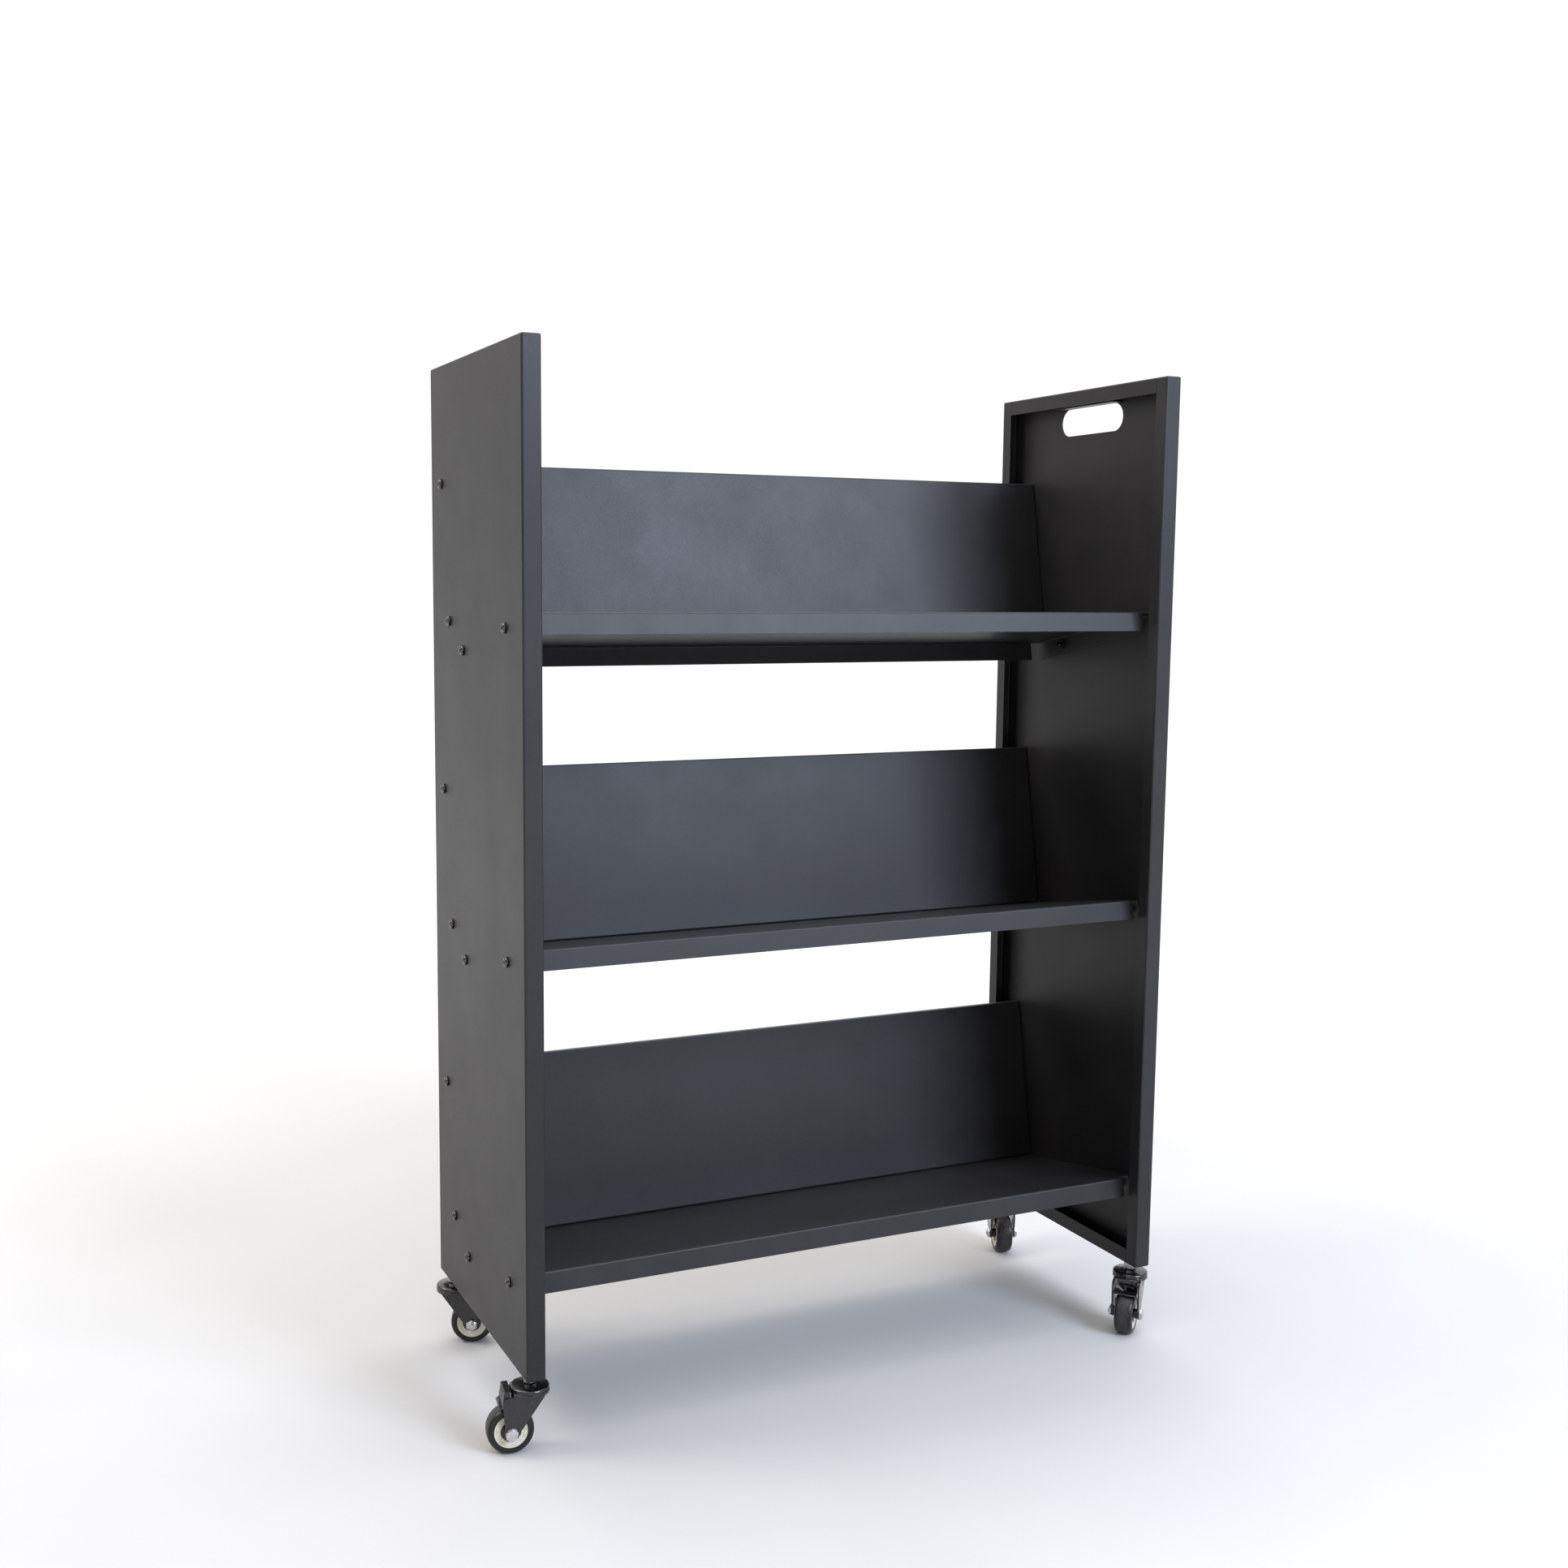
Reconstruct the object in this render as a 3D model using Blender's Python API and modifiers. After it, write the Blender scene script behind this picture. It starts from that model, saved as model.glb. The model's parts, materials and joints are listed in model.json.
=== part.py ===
"""Three-shelf steel book cart on four swivel casters, modelled as an assembly of separate solids.

Two folded sheet-metal end panels carry three trays and three back plates, bolted through their sides.
Tray and back plate lean together, so that books slide down and backwards. +X runs along the shelves,
+Y points from the open front to the back, +Z is up, and the origin is on the floor under the middle.
"""

import math

import bmesh
import bpy
from mathutils import Matrix, Vector

MM = 0.001
GAP = 0.3 * MM

# Whole cart
CART_WIDTH = 837 * MM
CART_DEPTH = 350 * MM
PANEL_HEIGHT = 1120 * MM
FLOOR_CLEARANCE = 86.5 * MM

# Folded sheet
SHEET = 1.2 * MM
BEND_RADIUS = 2.4 * MM
PANEL_THICKNESS = 22 * MM
PANEL_LIP = 19 * MM
SEAM_WIDTH = 0.5 * MM

# Shelves, in the leaning frame of the shelf: run goes back along the tray, rise stands up from it
SHELF_HEIGHTS = (836 * MM, 473 * MM, 110 * MM)
SHELF_NAMES = ("top", "middle", "bottom")
SHELF_FRONT = 32 * MM
LEAN = math.radians(10.5)
TRAY_RUN = 255 * MM
TRAY_FLANGE = 24 * MM
TRAY_FRONT_NOTCH = (20 * MM, 14 * MM)
TRAY_REAR_NOTCH = (12 * MM, 3 * MM)
BACK_RUN = 234 * MM
BACK_RISE = 217 * MM
BACK_FLANGE = 15 * MM
TRAY_BOLTS = ((30.7 * MM, -12 * MM), (193.5 * MM, -12 * MM))
BACK_BOLTS = ((242.5 * MM, 30.3 * MM), (242.5 * MM, 193.8 * MM))

# Handle slot in the right end panel
SLOT_LENGTH = 130 * MM
SLOT_WIDTH = 35 * MM
SLOT_TOP = 20 * MM
GRIP_FLAP_DEPTH = 15 * MM
GRIP_FLAP_LENGTH = 122 * MM

# Shelf bolts and their welded nuts
BOLT_HOLE_RADIUS = 3.4 * MM
BOLT_RADIUS = 3.0 * MM
BOLT_HEAD_RADIUS = 5.9 * MM
BOLT_HEAD_HEIGHT = 3.5 * MM
BOLT_SOCKET_RADIUS = 2.3 * MM
BOLT_LENGTH = 12 * MM
WELD_NUT_RADIUS = 5.4 * MM
WELD_NUT_HEIGHT = 5 * MM

# Casters: heights are measured down from the bottom edge of the end panels
STEM_INSET_X = 11 * MM
STEM_INSET_Y = 24 * MM
STEM_RADIUS = 4.8 * MM
STEM_LENGTH = 14 * MM
STEM_BUSH_RADIUS = 8.2 * MM
STEM_HEX_RADIUS = 8.1 * MM
STEM_HEX_HEIGHT = 8.5 * MM
KINGPIN_RADIUS = 3.7 * MM
KINGPIN_HEAD_RADIUS = 7 * MM
FORK_HEAD_RADIUS = 22 * MM
FORK_HEAD_TOP = 9.4 * MM
FORK_HEAD_BOTTOM = 20.3 * MM
FORK_PLATE_TOP = 15 * MM
FORK_INNER_HALF = 15.2 * MM
FORK_OUTER_HALF = 17.4 * MM
FORK_REAR = 14 * MM
FORK_FRONT = 31.5 * MM
FORK_PLATE_FRONT = 20 * MM
LEG_END_RADIUS = 7 * MM
TRAIL = 22.5 * MM
WHEEL_RADIUS = 26.5 * MM
TYRE_HALF_WIDTH = 11.6 * MM
TYRE_INNER_RADIUS = 19.0 * MM
TYRE_SHOULDER = (2.2 * MM, 4.2 * MM)
HUB_CORE_RADIUS = 11.2 * MM
HUB_BOSS_RADIUS = 6.2 * MM
HUB_BOSS_HALF = 14.9 * MM
AXLE_RADIUS = 3.0 * MM
AXLE_HOLE_RADIUS = 3.4 * MM
AXLE_HEX_RADIUS = 7.3 * MM
AXLE_HEX_HEIGHT = 3.5 * MM
AXLE_TIP = 22.6 * MM
PEDAL_HALF_WIDTH = 14.7 * MM
PEDAL_PIVOT = (26.5 * MM, -22.5 * MM)
PEDAL_BARREL_RADIUS = 3.2 * MM
PEDAL_CAP_HEIGHT = 10 * MM
PEDAL_LIP_REACH = 9.5 * MM
PEDAL_LIP_DROP = 8.8 * MM
PEDAL_JOURNAL_RADIUS = 1.5 * MM
PEDAL_HOLE_RADIUS = 1.85 * MM

# Corner name: side in X, side in Y, heading of the wheel seen from above in degrees, has a brake
CASTERS = {
    "front_left": (-1, -1, 170.8, True),
    "front_right": (1, -1, -137.5, True),
    "rear_left": (-1, 1, -20.0, False),
    "rear_right": (1, 1, -112.0, False),
}

SEGMENTS_BOLT = 10
SEGMENTS_SMALL = 12
SEGMENTS_STEM = 16
SEGMENTS_HUB = 16
SEGMENTS_HEAD = 20
SEGMENTS_TYRE = 24
BEND_SEGMENTS = 2
CUT_MARGIN = 2 * MM


# ---------------------------------------------------------------- scene and materials


def clear_scene():
    for obj in list(bpy.data.objects):
        bpy.data.objects.remove(obj, do_unlink=True)


def new_collection(name, hidden=False):
    collection = bpy.data.collections.new(name)
    collection.hide_render = hidden
    bpy.context.scene.collection.children.link(collection)
    return collection


def principled(name, colour, roughness, metallic):
    material = bpy.data.materials.new(name)
    material.use_nodes = True
    shader = material.node_tree.nodes["Principled BSDF"]
    shader.inputs["Base Color"].default_value = (*colour, 1)
    shader.inputs["Roughness"].default_value = roughness
    shader.inputs["Metallic"].default_value = metallic
    return material


def make_materials():
    return {
        "powder_coat": principled("powder_coat", (0.045, 0.045, 0.05), 0.5, 0.0),
        "shelf_bolt": principled("shelf_bolt", (0.12, 0.12, 0.13), 0.3, 0.9),
        "zinc_steel": principled("zinc_steel", (0.72, 0.73, 0.75), 0.28, 1.0),
        "black_fork": principled("black_fork", (0.02, 0.02, 0.022), 0.3, 0.0),
        "tyre_rubber": principled("tyre_rubber", (0.03, 0.03, 0.03), 0.6, 0.0),
        "hub_plastic": principled("hub_plastic", (0.78, 0.76, 0.68), 0.45, 0.0),
    }


# ---------------------------------------------------------------- mesh tools


def object_from(name, bm, collection, material=None):
    """An object in collection that takes over the bmesh."""
    bmesh.ops.recalc_face_normals(bm, faces=bm.faces)
    mesh = bpy.data.meshes.new(name)
    bm.to_mesh(mesh)
    bm.free()
    return object_of(name, mesh, collection, material)


def object_of(name, mesh, collection, material=None):
    obj = bpy.data.objects.new(name, mesh)
    collection.objects.link(obj)
    if material and not mesh.materials:
        mesh.materials.append(material)
    return obj


def cutter_from(name, bm):
    cutter = object_from(name, bm, bpy.data.collections["cutters"])
    cutter.hide_render = True
    cutter.display_type = "WIRE"
    return cutter


def add_box(bm, low, high):
    """A box between two corners, given in any order."""
    low, high = Vector(low), Vector(high)
    size = Vector(abs(b - a) for a, b in zip(low, high))
    matrix = Matrix.Translation((low + high) / 2) @ Matrix.Diagonal((*size, 1))
    bmesh.ops.create_cube(bm, size=1, matrix=matrix)


def add_cylinder(bm, start, end, radius, segments):
    """A closed cylinder from start to end."""
    start, end = Vector(start), Vector(end)
    axis = end - start
    matrix = (
        Matrix.Translation((start + end) / 2)
        @ axis.to_track_quat("Z", "Y").to_matrix().to_4x4()
    )
    bmesh.ops.create_cone(
        bm,
        cap_ends=True,
        segments=segments,
        radius1=radius,
        radius2=radius,
        depth=axis.length,
        matrix=matrix,
    )


def round_edges(bm, width, chosen):
    """Bevels the edges whose two ends satisfy chosen(first, second)."""
    edges = [edge for edge in bm.edges if chosen(edge.verts[0].co, edge.verts[1].co)]
    bmesh.ops.bevel(
        bm,
        geom=edges,
        offset=width,
        segments=BEND_SEGMENTS,
        profile=0.5,
        affect="EDGES",
    )


def combine(obj, other, operation):
    modifier = obj.modifiers.new(f"{operation.lower()}_{other.name}", "BOOLEAN")
    modifier.operation = operation
    modifier.solver = "EXACT"
    modifier.object = other


def turned(name, profile, segments, collection, material=None):
    """A solid turned about Z from (radius, height) points that run down its outer side, top to bottom."""
    bm = bmesh.new()
    verts = [bm.verts.new((radius, 0, height)) for radius, height in profile]
    for first, second in zip(verts, verts[1:]):
        bm.edges.new((first, second))
    if profile[0][0] > 0:
        bm.edges.new((verts[-1], verts[0]))
    mesh = bpy.data.meshes.new(name)
    bm.to_mesh(mesh)
    bm.free()
    obj = object_of(name, mesh, collection, material)
    screw = obj.modifiers.new("turn", "SCREW")
    screw.steps = segments
    screw.render_steps = segments
    screw.use_merge_vertices = True
    screw.merge_threshold = 0.01 * MM
    screw.use_smooth_shade = True
    return obj


def prism(outline, half_width):
    """A bmesh of an X-Z outline extruded along Y to both sides of the X-Z plane."""
    bm = bmesh.new()
    face = bm.faces.new([bm.verts.new((x, -half_width, z)) for x, z in outline])
    extruded = bmesh.ops.extrude_face_region(bm, geom=[face])["geom"]
    moved = [item for item in extruded if isinstance(item, bmesh.types.BMVert)]
    bmesh.ops.translate(bm, verts=moved, vec=(0, 2 * half_width, 0))
    return bm


def arc(centre, radius, start, end, count):
    """Points on an arc, from angle start to angle end in degrees."""
    angles = [math.radians(start + (end - start) * i / count) for i in range(count + 1)]
    return [(centre[0] + radius * math.cos(a), centre[1] + radius * math.sin(a)) for a in angles]


# ---------------------------------------------------------------- places


def outer_face(side):
    """X of an end panel's outer face."""
    return side * CART_WIDTH / 2


def inward(side, depth):
    """X at a depth measured inwards from an end panel's outer face."""
    return outer_face(side) - side * depth


def panel_y(distance):
    """Y at a distance behind the front edge of the end panels."""
    return distance - CART_DEPTH / 2


def panel_z(height):
    """Z at a height above the bottom edge of the end panels."""
    return height + FLOOR_CLEARANCE


def shelf_matrix(height):
    """The leaning frame of a shelf: its origin is the middle of the tray's front top edge."""
    place = Matrix.Translation((0, panel_y(SHELF_FRONT), panel_z(height)))
    return place @ Matrix.Rotation(-LEAN, 4, "X")


def bolt_points():
    """Every shelf bolt's name and place (Y, Z) in an end panel."""
    points = []
    for shelf, height in zip(SHELF_NAMES, SHELF_HEIGHTS):
        frame = shelf_matrix(height)
        named = zip(
            ("tray_front", "tray_rear", "back_low", "back_high"), TRAY_BOLTS + BACK_BOLTS
        )
        for label, (run, rise) in named:
            point = frame @ Vector((0, run, rise))
            points.append((f"{shelf}_{label}", point.y, point.z))
    return points


def stem_point(side_x, side_y):
    """The top of a caster, where its stem meets the bottom edge of its end panel."""
    x = side_x * (CART_WIDTH / 2 - STEM_INSET_X)
    y = side_y * (CART_DEPTH / 2 - STEM_INSET_Y)
    return Vector((x, y, panel_z(0)))


# ---------------------------------------------------------------- end panels


def panel_blank(name, side, material):
    """The outer form of a folded end panel, with its bends rounded."""
    bm = bmesh.new()
    add_box(
        bm,
        (outer_face(side), panel_y(0), panel_z(0)),
        (inward(side, PANEL_THICKNESS), panel_y(CART_DEPTH), panel_z(PANEL_HEIGHT)),
    )
    round_edges(bm, BEND_RADIUS, lambda a, b: True)
    return object_from(name, bm, bpy.data.collections["book_cart"], material)


def panel_cavity(name, side):
    """The hollow between the skin and the return lips."""
    bm = bmesh.new()
    add_box(
        bm,
        (inward(side, SHEET), panel_y(SHEET), panel_z(SHEET)),
        (
            inward(side, PANEL_THICKNESS - SHEET),
            panel_y(CART_DEPTH - SHEET),
            panel_z(PANEL_HEIGHT - SHEET),
        ),
    )
    round_edges(bm, BEND_RADIUS - SHEET, lambda a, b: True)
    return cutter_from(f"{name}_cavity", bm)


def panel_mouth(name, side):
    """The opening that the four return lips leave, and the seams where the short lips meet the long ones."""
    bm = bmesh.new()
    near = inward(side, PANEL_THICKNESS - SHEET - CUT_MARGIN)
    far = inward(side, PANEL_THICKNESS + CUT_MARGIN)
    front, back = panel_y(PANEL_LIP), panel_y(CART_DEPTH - PANEL_LIP)
    bottom, top = panel_z(PANEL_LIP), panel_z(PANEL_HEIGHT - PANEL_LIP)
    add_box(bm, (near, front, bottom), (far, back, top))
    cutter = cutter_from(f"{name}_mouth", bm)
    seams = bmesh.new()
    for edge_y, step in ((front, 1), (back, -1)):
        for low, high in (
            (panel_z(BEND_RADIUS), bottom + CUT_MARGIN),
            (top - CUT_MARGIN, panel_z(PANEL_HEIGHT - BEND_RADIUS)),
        ):
            add_box(seams, (near, edge_y, low), (far, edge_y + step * SEAM_WIDTH, high))
    return cutter, cutter_from(f"{name}_seams", seams)


def panel_holes(name, side):
    """The bolt holes through the skin."""
    bm = bmesh.new()
    for _, y, z in bolt_points():
        add_cylinder(
            bm,
            (inward(side, -CUT_MARGIN), y, z),
            (inward(side, SHEET + CUT_MARGIN), y, z),
            BOLT_HOLE_RADIUS,
            SEGMENTS_SMALL,
        )
    return cutter_from(f"{name}_holes", bm)


def stem_bushes(name, side):
    """The two welded bushes that the caster stems screw into, and the holes through them."""
    bushes, holes = bmesh.new(), bmesh.new()
    for side_y in (-1, 1):
        foot = stem_point(side, side_y)
        up = Vector((0, 0, 1))
        top = foot + up * (STEM_LENGTH + SHEET)
        add_cylinder(bushes, foot + up * SHEET / 2, top, STEM_BUSH_RADIUS, SEGMENTS_STEM)
        add_cylinder(
            holes,
            foot - up * CUT_MARGIN,
            top + up * CUT_MARGIN,
            STEM_RADIUS + GAP,
            SEGMENTS_STEM,
        )
    return cutter_from(f"{name}_bushes", bushes), cutter_from(f"{name}_stem_holes", holes)


def slot_cutter(name, side):
    """The round-ended handle slot."""
    radius = SLOT_WIDTH / 2
    reach = SLOT_LENGTH / 2 - radius
    middle_z = PANEL_HEIGHT - SLOT_TOP - radius
    outline = arc((reach, middle_z), radius, -90, 90, 10) + arc(
        (-reach, middle_z), radius, 90, 270, 10
    )
    bm = prism(outline, SHEET / 2 + CUT_MARGIN)
    turn = Matrix.Rotation(math.radians(90), 4, "Z")
    place = Matrix.Translation((inward(side, SHEET / 2), 0, FLOOR_CLEARANCE))
    bmesh.ops.transform(bm, matrix=place @ turn, verts=bm.verts)
    return cutter_from(f"{name}_slot", bm)


def grip_flap(name, side):
    """The flap folded inwards along the slot's top edge, which the fingers hold."""
    bm = bmesh.new()
    bottom = panel_z(PANEL_HEIGHT - SLOT_TOP)
    add_box(
        bm,
        (inward(side, SHEET / 2), -GRIP_FLAP_LENGTH / 2, bottom - 0.1 * MM),
        (inward(side, GRIP_FLAP_DEPTH), GRIP_FLAP_LENGTH / 2, bottom + SHEET),
    )
    return cutter_from(f"{name}_grip_flap", bm)


def make_end_panel(name, side, material, has_slot):
    panel = panel_blank(name, side, material)
    mouth, seams = panel_mouth(name, side)
    bushes, stem_holes = stem_bushes(name, side)
    combine(panel, panel_cavity(name, side), "DIFFERENCE")
    combine(panel, mouth, "DIFFERENCE")
    combine(panel, seams, "DIFFERENCE")
    combine(panel, panel_holes(name, side), "DIFFERENCE")
    combine(panel, bushes, "UNION")
    combine(panel, stem_holes, "DIFFERENCE")
    if has_slot:
        combine(panel, slot_cutter(name, side), "DIFFERENCE")
        combine(panel, grip_flap(name, side), "UNION")


# ---------------------------------------------------------------- trays and back plates


def side_reach():
    """Half the length of a tray or back plate, which lies against both skins."""
    return CART_WIDTH / 2 - SHEET - GAP


def add_bolt_row(bm, points, inner, outer, radius, segments):
    """Cylinders along X at both ends of a shelf piece, between two distances from its middle."""
    for run, rise in points:
        for side in (-1, 1):
            add_cylinder(bm, (side * inner, run, rise), (side * outer, run, rise), radius, segments)


def weld_nuts(name, points):
    """Hexagonal nuts welded behind the end flanges."""
    bm = bmesh.new()
    flange = side_reach() - SHEET
    add_bolt_row(bm, points, flange - WELD_NUT_HEIGHT, flange + SHEET / 2, WELD_NUT_RADIUS, 6)
    return cutter_from(f"{name}_weld_nuts", bm)


def weld_nut_holes(name, points):
    bm = bmesh.new()
    inner = side_reach() - SHEET - WELD_NUT_HEIGHT - CUT_MARGIN
    outer = side_reach() + CUT_MARGIN
    add_bolt_row(bm, points, inner, outer, BOLT_HOLE_RADIUS, SEGMENTS_SMALL)
    return cutter_from(f"{name}_weld_nut_holes", bm)


def tray_notches(name):
    """The corners cut back so that the front lip clears the panel lips and the rear flange ends short."""
    bm = bmesh.new()
    reach = side_reach()
    low, high = -TRAY_FLANGE - CUT_MARGIN, CUT_MARGIN
    for side in (-1, 1):
        width, run = TRAY_FRONT_NOTCH
        add_box(
            bm,
            (side * (reach - width), -CUT_MARGIN, low),
            (side * (reach + CUT_MARGIN), run, high),
        )
        width, run = TRAY_REAR_NOTCH
        add_box(
            bm,
            (side * (reach - width), TRAY_RUN - run, low),
            (side * (reach + CUT_MARGIN), TRAY_RUN + CUT_MARGIN, high),
        )
    return cutter_from(f"{name}_notches", bm)


def make_tray(name, frame, material):
    """A tray pressed as one sheet: a plate with flanges folded down on all four sides."""
    reach = side_reach()
    blank = bmesh.new()
    add_box(blank, (-reach, 0, -TRAY_FLANGE), (reach, TRAY_RUN, 0))
    round_edges(blank, BEND_RADIUS, lambda a, b: a.z > -MM and b.z > -MM)
    tray = object_from(name, blank, bpy.data.collections["book_cart"], material)
    hollow = bmesh.new()
    add_box(
        hollow,
        (-reach + SHEET, SHEET, -TRAY_FLANGE - CUT_MARGIN),
        (reach - SHEET, TRAY_RUN - SHEET, -SHEET),
    )
    round_edges(hollow, BEND_RADIUS - SHEET, lambda a, b: a.z > -2 * SHEET and b.z > -2 * SHEET)
    cutters = (
        (cutter_from(f"{name}_hollow", hollow), "DIFFERENCE"),
        (tray_notches(name), "DIFFERENCE"),
        (weld_nuts(name, TRAY_BOLTS), "UNION"),
        (weld_nut_holes(name, TRAY_BOLTS), "DIFFERENCE"),
    )
    for cutter, operation in cutters:
        cutter.parent = tray
        combine(tray, cutter, operation)
    tray.matrix_world = frame


def make_back_plate(name, frame, material):
    """A back plate that stands on the tray, with flanges folded backwards on all four sides."""
    reach = side_reach()
    front, rear = BACK_RUN, BACK_RUN + BACK_FLANGE
    blank = bmesh.new()
    add_box(blank, (-reach, front, GAP), (reach, rear, BACK_RISE))
    round_edges(blank, BEND_RADIUS, lambda a, b: max(a.y, b.y) < front + MM)
    back = object_from(name, blank, bpy.data.collections["book_cart"], material)
    hollow = bmesh.new()
    add_box(
        hollow,
        (-reach + SHEET, front + SHEET, GAP + SHEET),
        (reach - SHEET, rear + CUT_MARGIN, BACK_RISE - SHEET),
    )
    inner = front + 2 * SHEET
    round_edges(hollow, BEND_RADIUS - SHEET, lambda a, b: a.y < inner and b.y < inner)
    cutters = (
        (cutter_from(f"{name}_hollow", hollow), "DIFFERENCE"),
        (weld_nuts(name, BACK_BOLTS), "UNION"),
        (weld_nut_holes(name, BACK_BOLTS), "DIFFERENCE"),
    )
    for cutter, operation in cutters:
        cutter.parent = back
        combine(back, cutter, operation)
    back.matrix_world = frame


# ---------------------------------------------------------------- shelf bolts


def bolt_mesh(material):
    """The pan-head bolt's mesh: its head is above the origin and its shank runs down -Z."""
    bm = bmesh.new()
    profile = (
        (0, BOLT_HEAD_HEIGHT * 0.4),
        (BOLT_SOCKET_RADIUS, BOLT_HEAD_HEIGHT * 0.4),
        (BOLT_SOCKET_RADIUS, BOLT_HEAD_HEIGHT),
        (BOLT_HEAD_RADIUS * 0.72, BOLT_HEAD_HEIGHT * 0.82),
        (BOLT_HEAD_RADIUS, BOLT_HEAD_HEIGHT * 0.3),
        (BOLT_HEAD_RADIUS, 0),
        (BOLT_RADIUS, 0),
        (BOLT_RADIUS, -BOLT_LENGTH),
        (0, -BOLT_LENGTH),
    )
    verts = [bm.verts.new((radius, 0, height)) for radius, height in profile]
    edges = [bm.edges.new(pair) for pair in zip(verts, verts[1:])]
    bmesh.ops.spin(
        bm,
        geom=verts + edges,
        axis=(0, 0, 1),
        cent=(0, 0, 0),
        angle=math.tau,
        steps=SEGMENTS_BOLT,
        use_merge=True,
    )
    bmesh.ops.remove_doubles(bm, verts=bm.verts, dist=0.01 * MM)
    bmesh.ops.recalc_face_normals(bm, faces=bm.faces)
    mesh = bpy.data.meshes.new("shelf_bolt")
    bm.to_mesh(mesh)
    bm.free()
    mesh.materials.append(material)
    mesh.shade_smooth()
    mesh.set_sharp_from_angle(angle=math.radians(35))
    return mesh


def make_shelf_bolts(material):
    mesh = bolt_mesh(material)
    for side, side_name in ((-1, "left"), (1, "right")):
        for label, y, z in bolt_points():
            bolt = object_of(f"bolt_{side_name}_{label}", mesh, bpy.data.collections["book_cart"])
            bolt.location = (outer_face(side) + side * GAP, y, z)
            bolt.rotation_euler = (0, side * math.radians(90), 0)


# ---------------------------------------------------------------- casters


def fork_outline():
    """Side view of the fork legs, from the rear top corner round to the axle and back."""
    axle = (TRAIL, -(FLOOR_CLEARANCE - WHEEL_RADIUS))
    rear = (-FORK_REAR, -FORK_HEAD_BOTTOM)
    # The slanted rear edge is the tangent from the rear corner to the round leg end.
    reach = math.dist(rear, axle)
    slope = math.atan2(axle[1] - rear[1], axle[0] - rear[0])
    tangent = slope - math.asin(LEG_END_RADIUS / reach)
    start = math.degrees(tangent) - 90
    return [
        (-FORK_REAR, -FORK_PLATE_TOP),
        rear,
        *arc(axle, LEG_END_RADIUS, start, 0, 8),
        (FORK_FRONT + 0.5 * MM, -FORK_HEAD_BOTTOM - 5 * MM),
        (FORK_FRONT - 2 * MM, -FORK_HEAD_BOTTOM + MM),
        (FORK_PLATE_FRONT, -FORK_HEAD_BOTTOM + 2 * MM),
        (FORK_PLATE_FRONT, -FORK_PLATE_TOP),
    ]


def fork_mesh_parts(name, has_brake):
    """The fork's plate and legs as one block, with the cutters that open it for the wheel and the pins."""
    legs = prism(fork_outline(), FORK_OUTER_HALF)
    plate = -FORK_PLATE_TOP - GAP
    round_edges(legs, BEND_RADIUS, lambda a, b: min(a.z, b.z) > plate and a.y == b.y)
    axle_z = -(FLOOR_CLEARANCE - WHEEL_RADIUS)
    opening = bmesh.new()
    add_box(
        opening,
        (-FORK_REAR - CUT_MARGIN, -FORK_INNER_HALF, axle_z - 2 * LEG_END_RADIUS),
        (FORK_FRONT + 2 * CUT_MARGIN, FORK_INNER_HALF, -FORK_HEAD_BOTTOM),
    )
    mouth = bmesh.new()
    add_box(
        mouth,
        (FORK_PLATE_FRONT, -FORK_INNER_HALF, -FORK_HEAD_BOTTOM - MM),
        (FORK_FRONT + 2 * CUT_MARGIN, FORK_INNER_HALF, -FORK_PLATE_TOP + CUT_MARGIN),
    )
    holes = bmesh.new()
    beyond = FORK_OUTER_HALF + CUT_MARGIN
    add_cylinder(
        holes, (TRAIL, -beyond, axle_z), (TRAIL, beyond, axle_z), AXLE_HOLE_RADIUS, SEGMENTS_SMALL
    )
    if has_brake:
        x, z = PEDAL_PIVOT
        add_cylinder(holes, (x, -beyond, z), (x, beyond, z), PEDAL_HOLE_RADIUS, SEGMENTS_SMALL)
    cutters = [
        cutter_from(f"{name}_opening", opening),
        cutter_from(f"{name}_mouth", mouth),
        cutter_from(f"{name}_pin_holes", holes),
    ]
    return legs, cutters


def make_fork(name, parent, material, has_brake):
    """The swivelling fork: a domed head riveted to a plate whose two legs carry the axle."""
    top, bottom = -FORK_HEAD_TOP, -FORK_HEAD_BOTTOM
    bore = KINGPIN_RADIUS + GAP
    legs, cutters = fork_mesh_parts(name, has_brake)
    fork = object_from(name, legs, bpy.data.collections["book_cart"], material)
    profile = (
        (bore, top),
        (FORK_HEAD_RADIUS * 0.5, top),
        (FORK_HEAD_RADIUS * 0.8, top - 1.6 * MM),
        (FORK_HEAD_RADIUS * 0.97, top - 4.4 * MM),
        (FORK_HEAD_RADIUS, top - 7 * MM),
        (FORK_HEAD_RADIUS, bottom),
        (bore, bottom),
    )
    head = turned(f"{name}_head", profile, SEGMENTS_HEAD, bpy.data.collections["cutters"])
    head.hide_render = True
    head.display_type = "WIRE"
    bore_cut = bmesh.new()
    add_cylinder(bore_cut, (0, 0, top + MM), (0, 0, bottom - MM), bore, SEGMENTS_STEM)
    cutters.append(cutter_from(f"{name}_bore", bore_cut))
    combine(fork, head, "UNION")
    for cutter in cutters:
        combine(fork, cutter, "DIFFERENCE")
    for piece in (fork, head, *cutters):
        piece.parent = parent


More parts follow.
